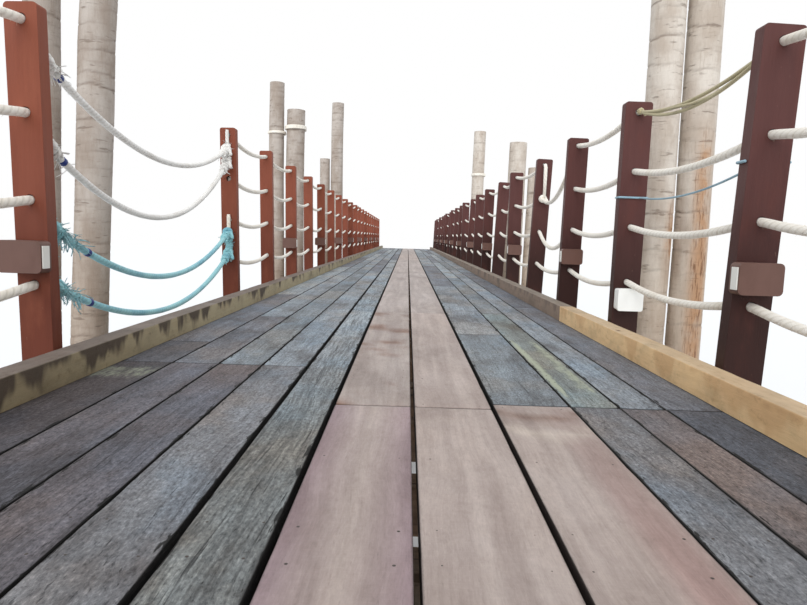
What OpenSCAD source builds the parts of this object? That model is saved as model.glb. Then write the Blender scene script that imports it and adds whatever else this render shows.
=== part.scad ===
// Timber jetty on palm-trunk piles, built as whole bays that repeat along Y.
// X runs across the deck, Y along it and Z up. The origin lies on the level of the pile feet, below the
// middle of the deck. The near end is at the lowest Y, and left and right are as seen walking towards +Y.

/* [Jetty] */
// Number of whole bays between the pile bents
bay_count = 6; // [2:1:6]
// Rail panels in each bay
panels_per_bay = 4; // [3:1:5]
// Length of one rail panel, from cross bearer to cross bearer
panel_len = 1000; // [900:10:1150]
// Height of the deck's top above the pile feet
deck_h = 1600; // [1350:10:2400]
// Deck that runs on past the first cross bearer, at the near end
near_run = 200; // [100:10:400]
// Deck that runs on past the last cross bearer, at the far end
far_run = 500; // [450:10:600]

/* [Deck planks] */
// Thickness of the deck planks
plank_t = 45; // [30:1:60]
// Gap between two planks that lie close
tight_gap = 4; // [2:1:8]
// Gap between two planks that lie well apart
open_gap = 10; // [6:1:14]
// Gap where two planks of one strake butt together
butt_gap = 5; // [3:1:10]
// Clear width between the two kerbs
clear_w = 1764; // [1600:4:2000]
// Width of strake 2, counted from the left
strake_2_w = 148; // [120:1:200]
// Width of strake 3
strake_3_w = 139; // [120:1:200]
// Width of strake 4
strake_4_w = 142; // [120:1:200]
// Width of strake 5
strake_5_w = 128; // [110:1:180]
// Width of strake 6, left of the middle gap
strake_6_w = 193; // [150:1:220]
// Width of strake 7, right of the middle gap
strake_7_w = 197; // [150:1:220]
// Width of strake 8
strake_8_w = 203; // [150:1:220]
// Width of strake 9
strake_9_w = 127; // [100:1:180]
// Width of strake 10
strake_10_w = 117; // [90:1:160]
// How far the middle gap lies to the right of the centreline
middle_gap_x = 66; // [40:1:110]
// How far the planks of a strake butt to one side of the middle of their joist
joint_shift = 24; // [0:1:26]

/* [Kerbs] */
// Width of a kerb
kerb_w = 75; // [60:1:100]
// Height of a kerb
kerb_h = 82; // [60:1:110]
// Length of one kerb timber
kerb_len = 4000; // [2500:50:5000]
// Deck edge that shows outside the kerb
kerb_margin = 5; // [2:1:15]

/* [Frame below the deck] */
// Thickness of joists, bearers, stringers and crossheads
timber_t = 75; // [60:1:90]
// Depth of the deck joists and rail bearers
joist_d = 100; // [80:5:125]
// Deck joists in each rail panel
joists_per_panel = 2.5; // [2:0.5:3]
// Distance of a joist before the rail bearer that follows it
joist_lead = 100; // [90:5:110]
// Depth of the stringers
stringer_d = 150; // [120:5:200]
// Distance of the inner stringers from the centreline
stringer_in_x = 280; // [200:10:400]
// Distance of the outer stringers from the centreline
stringer_out_x = 820; // [700:10:900]
// How far a rail bearer runs past the deck's edge
bearer_run = 145; // [130:5:170]
// Depth of the crossheads
crosshead_d = 200; // [150:5:250]
// Length of the crossheads
crosshead_len = 3770; // [3770:10:3900]
// Clear gap between the two crossheads of a bent
crosshead_gap = 150; // [130:5:160]
// Distance of a bent behind the rail bearer next to it
bent_lag = 180; // [170:5:240]
// Thickness of the brace boards
brace_t = 40; // [30:1:60]
// Depth of the brace boards
brace_d = 120; // [80:5:150]
// Height of a brace board's lower end above the pile feet
brace_foot_h = 260; // [200:10:350]
// Clearance in the housings that are cut in the piles
housing_fit = 0.3; // [0.2:0.1:1]

/* [Piles] */
// Thickness of a common trunk, across its foot
pile_d = 186; // [180:1:190]
// How much thinner a trunk gets by its top
pile_taper = 18; // [10:1:30]
// Distance of the inner row of piles from the centreline
pile_in_x = 1236; // [1234:1:1246]
// Gap between the feet of two trunks that stand together
pile_gap = 10; // [8:1:16]
// How much farther out the left pair of the second bent stands
wide_step = 384; // [150:2:384]
// Lean of that pair's inner trunk towards the deck, in degrees
wide_lean_in = 2.6; // [0:0.1:2.6]
// Lean of that pair's outer trunk towards the deck, in degrees
wide_lean_out = 1.4; // [0:0.1:1.4]
// Distance between the rings that fallen leaves left on the trunks
scar_gap = 220; // [150:5:300]
// Height of the ridge at each ring
scar_rise = 3; // [1:0.5:3.5]
// Width of the ridge at each ring
scar_w = 18; // [10:1:30]

/* [Rail] */
// Height of the rail posts above the deck
post_h = 1050; // [900:5:1200]
// Width of a right rail post across the jetty
post_w = 118; // [90:1:130]
// Width of a left rail post across the jetty
post_w_left = 94; // [84:1:100]
// Thickness of a rail post along the jetty
post_t = 50; // [40:1:60]
// Radius of the corners at the top of a post
post_r = 12; // [4:1:25]
// Gap between the deck's edge and a right post
post_clear = 11; // [10:1:20]
// Gap between the deck's edge and a left post
post_clear_left = 29; // [20:1:40]
// Post that shows below the rail bearer
post_tail = 40; // [10:5:80]
// Outward lean of the left posts, in degrees
lean_left = 1.1; // [0:0.1:1.6]
// Mean outward lean of the right posts, in degrees
lean_right = 0.9; // [0:0.1:2]
// How far the lean of the right posts varies, in degrees
lean_swing = 1.2; // [0:0.1:1.2]
// Rope diameter
rope_d = 27; // [20:1:32]
// How much fatter a rope lies inside a post's hole, all round
rope_bulge = 1; // [0.8:0.1:1.6]
// Clearance of a rope in its hole, all round
rope_fit = 0.6; // [0.4:0.1:1]
// Sag of a rope in one panel
rope_sag = 38; // [20:1:40]
// Height of the lowest rope above the deck
rope_1_h = 260; // [255:5:290]
// Height of the second rope above the deck
rope_2_h = 505; // [440:5:540]
// Height of the third rope above the deck
rope_3_h = 750; // [700:5:780]
// Height of the top rope above the deck
rope_4_h = 1005; // [950:5:1015]

/* [Lines tied in] */
// Diameter of the lines tied in where a post is missing
line_d = 24; // [16:1:30]
// Gap between a tied line and what it bears on
line_fit = 0.3; // [0.2:0.1:0.8]
// Height of the lowest tied line above the deck, at its near end
line_1_from = 265; // [250:5:290]
// Height of the lowest tied line at its far end
line_1_to = 305; // [290:5:340]
// Sag of the lowest tied line
line_1_sag = 210; // [120:5:220]
// Height of the second tied line at its near end
line_2_from = 445; // [400:5:480]
// Height of the second tied line at its far end
line_2_to = 430; // [390:5:470]
// Sag of the second tied line
line_2_sag = 215; // [150:5:260]
// Height of the third tied line at its near end
line_3_from = 690; // [640:5:720]
// Height of the third tied line at its far end
line_3_to = 845; // [800:5:860]
// Sag of the third tied line
line_3_sag = 280; // [150:5:300]
// Height of the highest tied line at its near end
line_4_from = 935; // [900:5:975]
// Height of the highest tied line at its far end
line_4_to = 920; // [900:5:975]
// Sag of the highest tied line
line_4_sag = 195; // [90:5:250]
// Rise of a loose end above the hole that its line comes out of
end_rise = 30; // [15:1:34]
// Diameter of the thin strands that stand in for a top rope
strand_d = 13; // [8:1:16]
// Sag of the straighter of the thin strands
strand_sag = 50; // [40:1:80]
// Sag of the slack rope on the right
slack_sag = 115; // [60:5:140]
// Sag of the top rope where it drops to the third hole of the next post
drop_sag = 140; // [60:5:150]
// Diameter of the thin blue line
blue_d = 9; // [6:1:12]
// Height of the blue line on the nearer post
blue_near_h = 675; // [640:5:690]
// Height of the blue line on the farther post
blue_far_h = 635; // [560:5:680]
// Diameter of the rope that lashes the pile heads
lash_d = 20; // [14:1:26]
// Least height of the lashings above the tops of the rail posts
lash_h = 510; // [450:10:560]

/* [Lights] */
// Width of a light box across the post
light_w = 126; // [90:1:140]
// Depth of a light box along the jetty
light_dp = 60; // [50:1:100]
// Height of a light box
light_h = 92; // [80:1:120]
// Height of a light box's underside above the deck
light_z = 297; // [290:1:320]
// How far a light box stands out past the inner edge of its post
light_out = 6; // [5:1:30]
// Radius of a light box's corners
light_r = 14; // [6:1:20]
// Thickness of a light box's back plate
light_plate_t = 8; // [4:1:12]
// How much smaller the back plate is than its box, all round
light_plate_in = 6; // [2:1:10]
// Width of the lens along the jetty
lens_w = 34; // [24:1:40]
// Height of the lens
lens_h = 64; // [50:1:70]
// Distance of the lens from its box's near face
lens_in = 4; // [2:1:8]
// How far the lens stands proud of its box
lens_t = 4; // [2:1:8]
// Width of the junction box
jbox_w = 112; // [80:1:116]
// Height of the junction box
jbox_h = 100; // [80:1:110]
// Depth of the junction box
jbox_dp = 62; // [40:1:80]
// Thickness of the junction box's lid
jbox_lid_t = 16; // [8:1:24]
// How far the lid stands out round the box
jbox_lip = 3; // [1:1:6]
// Radius of the junction box's corners
jbox_r = 10; // [5:1:20]
// Height of the junction box above the deck
jbox_z = 134; // [115:1:134]

/* [Hidden] */

LEFT = -1;
RIGHT = 1;

// Places along the jetty
bay_len = panels_per_bay * panel_len;
last_bearer = bay_count * panels_per_bay;
deck_len = bay_count * bay_len + near_run + far_run;
near_end = -deck_len / 2;
far_end = deck_len / 2;
function bearer_y(k) = near_end + near_run + k * panel_len;
joist_pitch = panel_len / joists_per_panel;
function joist_y(n) = bearer_y(0) - joist_lead + n * joist_pitch;
last_joist = floor((far_end - joist_y(0) - timber_t / 2) / joist_pitch);
function bent_y(b) = bearer_y(0) + bent_lag + (b - 1) * bay_len;

// Levels
plank_z = deck_h - plank_t;
joist_z = plank_z - joist_d;
stringer_z = joist_z - stringer_d;
crosshead_z = stringer_z - crosshead_d;

// Places across the jetty
deck_edge = clear_w / 2 + kerb_w + kerb_margin;
strake_w = [strake_2_w, strake_3_w, strake_4_w, strake_5_w, strake_6_w, strake_7_w, strake_8_w, strake_9_w,
    strake_10_w];
// Gaps from left to right, of which the sixth is the middle one
gap_w = [tight_gap, tight_gap, tight_gap, open_gap, open_gap, open_gap, open_gap, tight_gap, tight_gap, tight_gap];
middle_gap = 5;
function sum(list, from, to) = from > to ? 0 : list[from] + sum(list, from + 1, to);
function gap_from_middle(g) = g < middle_gap
    ? -sum(strake_w, g, middle_gap - 1) - sum(gap_w, g + 1, middle_gap - 1) - (gap_w[g] + gap_w[middle_gap]) / 2
    : g == middle_gap ? 0
    : sum(strake_w, middle_gap, g - 1) + sum(gap_w, middle_gap + 1, g - 1) + (gap_w[g] + gap_w[middle_gap]) / 2;
function gap_x(g) = middle_gap_x + gap_from_middle(g);
function strake_from(s) = s == 1 ? -deck_edge : gap_x(s - 2) + gap_w[s - 2] / 2;
function strake_to(s) = s == 11 ? deck_edge : gap_x(s - 1) - gap_w[s - 1] / 2;

// Joists on which each strake's planks butt: the odd lengths near the near end, then full planks. The two middle
// strakes' planks butt before the middle of a joist, and the other strakes' planks beyond it.
plank_joists = 10;
short_joints = [[8, 9], [8], [8], [8], [3], [7], [7], [7, 10], [7, 12], [7], [7]];
full_joint_from = [14, 11, 15, 12, 12, 12, 12, 17, 20, 14, 13];
function strake_joints(s) = concat(
    short_joints[s - 1],
    [for (n = [full_joint_from[s - 1] : plank_joists : last_joist - 2]) n]
);

function joint_y(s, n) = joist_y(n) + (s == 6 || s == 7 ? -joint_shift : joint_shift);

function lean(side, k) = side == LEFT ? lean_left : lean_right + lean_swing * sin(140 * k + 15);
function post_wide(side) = side == LEFT ? post_w_left : post_w;
function post_inner_x(side) = deck_edge + (side == LEFT ? post_clear_left : post_clear);
function post_x(side) = side * (post_inner_x(side) + post_wide(side) / 2);
function post_y(k) = bearer_y(k) - (timber_t + post_t) / 2;
missing_post = 4;
strand_panel = 3;
slack_panel = 5;
function rail_posts(side) = [for (k = [0 : last_bearer]) if (side == RIGHT || k != missing_post) k];
rope_h = [rope_1_h, rope_2_h, rope_3_h, rope_4_h];
// How deep a hanging length of rope reaches into a post
rope_grip = 2.4;
function hole_at(side, k, h) = [
    post_x(side) + side * h * tan(lean(side, k)),
    post_y(k),
    deck_h + h
];

// Height of each trunk above the deck, from the left outer pile to the right outer one, bent by bent
pile_tops = [
    [1500, 1850, 1700, 1350],
    [2300, 2650, 2700, 2500],
    [2080, 1790, 1510, 1240],
    [1750, 2700, 2290, 900],
    [860, 1130, 1020, 760],
    [1090, 820, 940, 1080],
    [780, 1060, 880, 990]
];
// How much thicker each trunk is than a common one, in the same order
pile_more = [
    [4, -8, -2, 10],
    [-12, -10, -14, -16],
    [-6, 32, 24, 0],
    [4, 38, 38, -6],
    [10, -2, -8, 4],
    [-4, 8, 2, -10],
    [4, -6, 6, 0]
];
function pile_side(p) = p < 2 ? LEFT : RIGHT;
function is_outer(p) = p == 0 || p == 3;
// The left pair of the second bent stands farther out than the others
wide_bent = 2;
function stands_wide(b, p) = b == wide_bent && p < 2;
function pile_thick(b, p) = pile_d + pile_more[b - 1][p];
function pile_step(b, side) = pile_gap + (side == LEFT
    ? pile_thick(b, 0) + pile_thick(b, 1)
    : pile_thick(b, 2) + pile_thick(b, 3)) / 2;
function pile_x(b, p) = pile_side(p)
    * (pile_in_x + (is_outer(p) ? pile_step(b, pile_side(p)) : 0) + (stands_wide(b, p) ? wide_step : 0));
function pile_lean(b, p) = pile_side(p)
    * (!stands_wide(b, p) ? 0.12 + 0.12 * sin(80 * b + 60 * pile_side(p))
    : is_outer(p) ? -wide_lean_out : -wide_lean_in);
function pile_r(b, p, z) = (pile_thick(b, p) - pile_taper * z / (deck_h + pile_tops[b - 1][p])) / 2;

// Height of a trunk's ring, counted up from its foot
function scar_z(b, p, i) = (i + 0.8) * scar_gap + 0.2 * scar_gap * sin(67 * i + 50 * b + 90 * p);

// Turns of rope that lie close round a trunk, halfway between one of its rings and the next
module lashing(b, p, ring, turns) {
    z = (scar_z(b, p, ring) + scar_z(b, p, ring + 1)) / 2;
    turn_r = pile_r(b, p, z) + line_fit + lash_d / 2;
    translate([pile_x(b, p), bent_y(b), 0])
        rotate([0, pile_lean(b, p), 0])
            for (t = [0 : turns - 1])
                translate([0, 0, z + t * 0.85 * lash_d])
                    rotate_extrude($fn = 64)
                        translate([turn_r, 0])
                            circle(d = lash_d, $fn = 20);
}

module pile_lashings() {
    head_ring = floor((deck_h + post_h + lash_h) / scar_gap - 1.3);
    color("#d8d2c4") {
        lashing(3, 0, head_ring, 2);
        lashing(3, 1, head_ring, 3);
        lashing(4, 2, head_ring, 3);
    }
}

module timber(x0, x1, y0, y1, z0, z1) {
    translate([x0, y0, z0])
        cube([x1 - x0, y1 - y0, z1 - z0]);
}

module strake(s) {
    tones = ["#6b6a6b", "#605f61", "#6f7176", "#63666c", "#6a6e72", "#9a8a84", "#a3958f", "#77797c", "#8a8f7c",
        "#66686d", "#5e5c60"];
    joints = strake_joints(s);
    starts = concat([near_end], [for (n = joints) joint_y(s, n) + butt_gap / 2]);
    ends = concat([for (n = joints) joint_y(s, n) - butt_gap / 2], [far_end]);
    color(tones[s - 1])
        for (i = [0 : len(starts) - 1])
            timber(strake_from(s), strake_to(s), starts[i], ends[i], plank_z, deck_h);
}

module kerb(side, first_joint) {
    inner = clear_w / 2;
    joints = [for (y = [first_joint : kerb_len : far_end - kerb_len / 4]) y];
    starts = concat([near_end], [for (y = joints) y + butt_gap / 2]);
    ends = concat([for (y = joints) y - butt_gap / 2], [far_end]);
    for (i = [0 : len(starts) - 1])
        timber(side > 0 ? inner : -inner - kerb_w, side > 0 ? inner + kerb_w : -inner, starts[i], ends[i],
            deck_h, deck_h + kerb_h);
}

module left_kerb() {
    color("#8c7f5f")
        kerb(LEFT, bearer_y(5));
}

module right_kerb() {
    color("#c8ab7a")
        kerb(RIGHT, bearer_y(4) + panel_len / 2);
}

module deck_joists() {
    half = deck_edge - kerb_w / 4;
    color("#7d6a55")
        for (n = [1 : last_joist])
            timber(-half, half, joist_y(n) - timber_t / 2, joist_y(n) + timber_t / 2, joist_z, plank_z);
}

module rail_bearers() {
    half = deck_edge + bearer_run;
    color("#8a6247")
        for (k = [0 : last_bearer])
            timber(-half, half, bearer_y(k) - timber_t / 2, bearer_y(k) + timber_t / 2, joist_z, plank_z);
}

module stringer(x) {
    color("#6f604f")
        for (b = [1 : bay_count])
            timber(x - timber_t / 2, x + timber_t / 2,
                b == 1 ? near_end : bent_y(b) + butt_gap / 2,
                b == bay_count ? far_end : bent_y(b + 1) - butt_gap / 2,
                stringer_z, joist_z);
}

// The crosshead on one face of a bent, 1 for the far face and -1 for the near face
module crosshead(b, face, grow = 0) {
    y_in = bent_y(b) + face * crosshead_gap / 2;
    y_out = y_in + face * timber_t;
    timber(-crosshead_len / 2 - grow, crosshead_len / 2 + grow, min(y_in, y_out) - grow, max(y_in, y_out) + grow,
        crosshead_z - grow, stringer_z + grow);
}

module crossheads(face) {
    color("#6a5a49")
        for (b = [1 : bay_count + 1])
            crosshead(b, face);
}

// A brace board on one face of a bent, from the foot of one inner pile to the head of the other
module brace(b, face, grow = 0) {
    x_left = pile_x(b, 1);
    x_right = pile_x(b, 2);
    head_z = crosshead_z - brace_d;
    slope = atan2(head_z - brace_foot_h, x_right - x_left);
    board_len = (x_right - x_left) / cos(slope) + pile_d;
    y_mid = bent_y(b) + face * (crosshead_gap + brace_t) / 2;
    translate([(x_left + x_right) / 2, y_mid, (brace_foot_h + head_z) / 2])
        rotate([0, face * slope, 0])
            cube([board_len + 2 * grow, brace_t + 2 * grow, brace_d + 2 * grow], center = true);
}

module braces(face) {
    color("#75685a")
        for (b = [1 : bay_count + 1])
            brace(b, face);
}

// A palm trunk, thicker at its foot, with a low ridge at each ring that a fallen leaf left
module trunk(b, p) {
    top_h = deck_h + pile_tops[b - 1][p];
    sunk = 60;
    scars = [for (i = [0 : floor((top_h - 1.5 * scar_gap) / scar_gap)]) scar_z(b, p, i)];
    outline = concat(
        [[0, -sunk], [pile_r(b, p, -sunk), -sunk]],
        [for (z = scars, e = [-1 : 1]) [pile_r(b, p, z) + (e == 0 ? scar_rise : 0), z + e * scar_w / 2]],
        [[pile_r(b, p, top_h), top_h], [0, top_h]]
    );
    translate([pile_x(b, p), bent_y(b), 0])
        rotate([0, pile_lean(b, p), 0])
            rotate_extrude($fn = 40)
                polygon(outline);
}

module piles(b) {
    floor_w = crosshead_len + 2 * pile_d;
    color("#a39685")
        for (p = [0 : 3])
            difference() {
                trunk(b, p);
                timber(-floor_w / 2, floor_w / 2, bent_y(b) - pile_d, bent_y(b) + pile_d, -pile_d, 0);
                for (face = [-1, 1]) {
                    crosshead(b, face, housing_fit);
                    brace(b, face, housing_fit);
                }
            }
}

// Outline of a rail post seen along the jetty, with its foot at the tail below the bearer
function post_corner(sx, w) = [
    for (a = [0 : 18 : 90])
        [sx * (w / 2 - post_r + post_r * cos(a)), post_h - post_r + post_r * sin(a)]
];
function reversed(list) = [for (i = [len(list) - 1 : -1 : 0]) list[i]];

module post_outline(w) {
    tail = plank_t + joist_d + post_tail;
    difference() {
        polygon(concat([[-w / 2, -tail], [w / 2, -tail]], post_corner(1, w), reversed(post_corner(-1, w))));
        for (h = rope_h)
            translate([0, h])
                circle(d = rope_d + 2 * rope_bulge + 2 * rope_fit, $fn = 32);
    }
}

module post(side, k) {
    translate([post_x(side), post_y(k), deck_h])
        rotate([0, side * lean(side, k), 0])
            translate([0, post_t / 2, 0])
                rotate([90, 0, 0])
                    linear_extrude(height = post_t)
                        post_outline(post_wide(side));
}

module left_posts() {
    color("#96493a")
        for (k = rail_posts(LEFT))
            post(LEFT, k);
}

module right_posts() {
    color("#663a33")
        for (k = rail_posts(RIGHT))
            post(RIGHT, k);
}

// One length of rope between two points, hanging in a shallow arc
module rope_arc(from, to, sag, d) {
    run = norm(to - from);
    rise = to[2] - from[2];
    bow_r = run * run / (8 * sag) + sag / 2;
    half_angle = asin(run / 2 / bow_r);
    translate((from + to) / 2)
        rotate([0, 0, atan2(to[1] - from[1], to[0] - from[0])])
            rotate([0, -asin(rise / run), 0])
                translate([0, 0, bow_r - sag])
                    rotate([90, 0, 0])
                        rotate([0, 0, 270 - half_angle])
                            rotate_extrude(angle = 2 * half_angle, $fn = 240)
                                translate([bow_r, 0])
                                    circle(d = d, $fn = 24);
}

// The straight stretch of rope inside a post's hole
module rope_in_post(at) {
    translate(at)
        rotate([90, 0, 0])
            cylinder(d = rope_d + 2 * rope_bulge, h = post_t + 2, center = true, $fn = 24);
}

// Panels without a rope in its own row: where a left post is missing, and two panels on the right
function has_rope(side, r, k) = side == LEFT
    ? k != missing_post - 1 && k != missing_post
    : r < 3 || (k != slack_panel && (r == 3 || k != strand_panel));
function span_sag(side, r, k) = side == RIGHT && k == slack_panel && r == 2 ? slack_sag : rope_sag;

// A rope end that turns out of a post's near face and hangs down
module rope_end(at, drop) {
    bend_r = 1.4 * rope_d;
    translate(at - [0, post_t / 2 - rope_grip, 0]) {
        translate([0, 0, -bend_r])
            rotate([0, -90, 0])
                rotate([0, 0, -90])
                    rotate_extrude(angle = 90, $fn = 96)
                        translate([bend_r, 0])
                            circle(d = rope_d, $fn = 24);
        translate([0, -bend_r, -drop])
            cylinder(d = rope_d, h = drop - bend_r, $fn = 24);
    }
}

// A knot of close turns, with its axis along Y, that starts at a point and builds up away from it
module knot(at, way, turns, d) {
    pitch = 0.8 * d;
    ridges = [for (t = [0 : turns - 1], e = [0.25, 0.75, 1]) [e == 1 ? 0.95 * d : 1.28 * d, (t + e) * pitch]];
    translate(at)
        rotate([-90 * way, 0, 0])
            rotate_extrude($fn = 32)
                polygon(concat([[0, 0], [0.95 * d, 0]], ridges, [[0, turns * pitch]]));
}

module rope(side, r) {
    h = rope_h[r - 1];
    ks = rail_posts(side);
    grip = [0, post_t / 2 - rope_grip, 0];
    stop = [0, post_t / 2, 0];
    color("#e1d7c3") {
        for (k = ks) {
            here = hole_at(side, k, h);
            rope_in_post(here);
            if (k < last_bearer && has_rope(side, r, k))
                rope_arc(here + grip, hole_at(side, k + 1, h) - grip, span_sag(side, r, k), rope_d);
        }
        knot(hole_at(side, 0, h) - stop, -1, 2, rope_d);
        knot(hole_at(side, last_bearer, h) + stop, 1, 2, rope_d);
        if (side == RIGHT && r == 4)
            dropped_rope();
    }
}

// The top rope of the slack panel drops to a knot at the next post's third hole, and its end goes up to the fourth
module dropped_rope() {
    to = hole_at(RIGHT, slack_panel + 1, rope_3_h) - [0, post_t / 2 + 1 + line_fit, 0];
    rope_arc(hole_at(RIGHT, slack_panel, rope_4_h) + [0, post_t / 2 - rope_grip, 0], to - [0, 0.6 * rope_d, 0],
        drop_sag, rope_d);
    knot(to, -1, 2, rope_d);
    rope_end(hole_at(RIGHT, slack_panel + 1, rope_4_h), rope_4_h - rope_3_h);
}

// A line tied in between two posts, at its own height on each, with a knot at each end
module tied_line(side, from_k, to_k, from_h, to_h, sag, d, from_turns, to_turns) {
    reach = [0, post_t / 2 + 1 + line_fit, 0];
    bite = [0, 0.6 * d, 0];
    from = hole_at(side, from_k, from_h) + reach;
    to = hole_at(side, to_k, to_h) - reach;
    rope_arc(from + bite, to - bite, sag, d);
    knot(from, 1, from_turns, d);
    knot(to, -1, to_turns, d);
}

// A loop of line that comes out of a left post's hole and lies down the post's face, 1 for the far face
module loop(k, face, top_h, foot_h, d) {
    out = post_t / 2 + 1 + line_fit + 0.45 * d;
    translate(hole_at(LEFT, k, foot_h) + [0, face * out, 0])
        rotate([0, -lean(LEFT, k), 0])
            cylinder(d = 0.9 * d, h = top_h - foot_h, $fn = 20);
}

module missing_post_line(from_h, to_h, sag) {
    tied_line(LEFT, missing_post - 1, missing_post + 1, from_h, to_h, sag, line_d, 2, 3);
}

module white_lines() {
    color("#e8e6e0") {
        missing_post_line(line_4_from, line_4_to, line_4_sag);
        missing_post_line(line_3_from, line_3_to, line_3_sag);
        loop(missing_post - 1, 1, rope_4_h + line_d / 2, line_4_from, line_d);
        loop(missing_post - 1, 1, rope_3_h + line_d / 2, line_3_from, line_d);
        loop(missing_post + 1, -1, rope_4_h + end_rise, line_3_to, line_d);
    }
}

module turquoise_lines() {
    color("#6fb2b8") {
        missing_post_line(line_2_from, line_2_to, line_2_sag);
        missing_post_line(line_1_from, line_1_to, line_1_sag);
        loop(missing_post - 1, 1, rope_2_h + line_d / 2, line_1_from, line_d);
        loop(missing_post + 1, -1, rope_2_h + end_rise, line_1_to, line_d);
    }
}

// Thin strands in place of the top rope in one panel on the right
module top_strands() {
    color("#c8c29a")
        for (t = [0, 1])
            tied_line(RIGHT, strand_panel, strand_panel + 1, rope_4_h, rope_4_h, strand_sag + t * 2 * strand_d,
                strand_d, 3, 3);
}

// One turn of a thin line laid flat round a rail post, clear of it by the line's fit
module post_turn(side, k, h) {
    w = post_wide(side) + 2 * line_fit;
    t = post_t + 2 * line_fit;
    translate([post_x(side), post_y(k), deck_h])
        rotate([0, side * lean(side, k), 0])
            translate([0, 0, h - blue_d / 2])
                linear_extrude(height = blue_d)
                    difference() {
                        square([w + 2 * blue_d, t + 2 * blue_d], center = true);
                        square([w, t], center = true);
                    }
}

module blue_line() {
    off = [0, post_t / 2 + line_fit + blue_d / 2, 0];
    color("#9fc0d4") {
        post_turn(RIGHT, strand_panel, blue_near_h);
        post_turn(RIGHT, strand_panel + 1, blue_far_h);
        rope_arc(hole_at(RIGHT, strand_panel, blue_near_h) + off,
            hole_at(RIGHT, strand_panel + 1, blue_far_h) + [post_w / 4, 0, 0] - off, rope_sag, 0.8 * blue_d);
    }
}

// Posts that carry a light box, on their near face: every second one, but for the tied-up post on the left
function lit_posts(side) = [for (k = [1 : 2 : last_bearer]) if (side == RIGHT || k != missing_post + 1) k];

function light_inner_x(side) = post_inner_x(side) - light_out;
function light_near_y(k) = post_y(k) - post_t / 2 - light_dp;

// A closed moulded box with rounded corners, seen along the jetty: middle, width, height and its Y range
module moulded_box(x_mid, z_mid, w, h, y0, y1, corner_r) {
    ring = [for (q = [0 : 3], a = [0 : 22.5 : 90])
        [(q == 0 || q == 3 ? 1 : -1) * (w / 2 - corner_r) + corner_r * cos(a + 90 * q),
            (q < 2 ? 1 : -1) * (h / 2 - corner_r) + corner_r * sin(a + 90 * q)]];
    translate([x_mid, y1, z_mid])
        rotate([90, 0, 0])
            linear_extrude(height = y1 - y0)
                polygon(ring);
}

// A light box: a plate on the post, and the housing on the plate
module light_boxes() {
    color("#6b4c42")
        for (side = [LEFT, RIGHT], k = lit_posts(side)) {
            x_mid = side * (light_inner_x(side) + light_w / 2);
            y0 = light_near_y(k);
            y1 = y0 + light_dp;
            z_mid = deck_h + light_z + light_h / 2;
            moulded_box(x_mid, z_mid, light_w, light_h, y0, y1 - light_plate_t, light_r);
            moulded_box(x_mid, z_mid, light_w - 2 * light_plate_in, light_h - 2 * light_plate_in,
                y1 - light_plate_t, y1, light_r / 2);
        }
}

module light_lenses() {
    color("white")
        for (side = [LEFT, RIGHT], k = lit_posts(side)) {
            x_in = light_inner_x(side);
            near_y = light_near_y(k) + lens_in;
            mid_z = deck_h + light_z + light_h / 2;
            timber(side > 0 ? x_in - lens_t : -x_in, side > 0 ? x_in : -x_in + lens_t,
                near_y, near_y + lens_w, mid_z - lens_h / 2, mid_z + lens_h / 2);
        }
}

module junction_box() {
    k = 4;
    y_back = post_y(k) - post_t / 2;
    x_mid = post_x(RIGHT) + (jbox_z + jbox_h / 2) * tan(lean(RIGHT, k));
    z_mid = deck_h + jbox_z + jbox_h / 2;
    color("#f2f2ef") {
        moulded_box(x_mid, z_mid, jbox_w, jbox_h, y_back - jbox_dp, y_back - jbox_dp + jbox_lid_t, jbox_r);
        moulded_box(x_mid, z_mid, jbox_w - 2 * jbox_lip, jbox_h - 2 * jbox_lip, y_back - jbox_dp + jbox_lid_t, y_back,
            jbox_r);
    }
}

for (s = [1 : 11])
    strake(s);
left_kerb();
right_kerb();
deck_joists();
rail_bearers();
stringer(-stringer_out_x);  // stringer_left_outer
stringer(-stringer_in_x);  // stringer_left_inner
stringer(stringer_in_x);  // stringer_right_inner
stringer(stringer_out_x);  // stringer_right_outer
crossheads(-1);  // crossheads_near
crossheads(1);  // crossheads_far
braces(-1);  // braces_near
braces(1);  // braces_far
for (b = [1 : bay_count + 1])
    piles(b);
left_posts();
right_posts();
for (r = [1 : 4]) {
    rope(LEFT, r);
    rope(RIGHT, r);
}
white_lines();
turquoise_lines();
top_strands();
blue_line();
pile_lashings();
light_boxes();
light_lenses();
junction_box();
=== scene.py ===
"""A timber jetty on palm-trunk piles, with a plank deck and rope rails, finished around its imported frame."""

import math
import random

import bmesh
import bpy
import numpy as np
from mathutils import Matrix, Vector, noise


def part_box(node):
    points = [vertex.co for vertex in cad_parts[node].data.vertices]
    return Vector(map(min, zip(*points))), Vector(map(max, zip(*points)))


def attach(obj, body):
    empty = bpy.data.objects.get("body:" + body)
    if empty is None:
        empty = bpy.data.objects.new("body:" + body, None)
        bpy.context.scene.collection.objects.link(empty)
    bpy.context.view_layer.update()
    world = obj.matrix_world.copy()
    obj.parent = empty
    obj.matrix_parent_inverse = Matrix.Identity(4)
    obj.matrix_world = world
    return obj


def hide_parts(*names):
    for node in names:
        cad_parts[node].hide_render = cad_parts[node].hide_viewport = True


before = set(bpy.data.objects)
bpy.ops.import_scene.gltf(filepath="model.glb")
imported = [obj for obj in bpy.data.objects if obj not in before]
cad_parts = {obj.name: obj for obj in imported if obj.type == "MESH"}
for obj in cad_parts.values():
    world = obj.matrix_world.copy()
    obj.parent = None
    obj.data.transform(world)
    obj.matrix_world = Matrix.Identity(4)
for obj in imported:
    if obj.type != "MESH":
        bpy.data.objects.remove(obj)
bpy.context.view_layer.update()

# The camera sits low over the deck, a stride in from its near end and a little right of the middle. It looks along
# the jetty and slightly down, and is tipped a little to one side.
photo_width_px = 807
focal_px = 620
near_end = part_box("deck_strake_6")[0].y
deck_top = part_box("deck_strake_6")[1].z
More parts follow.
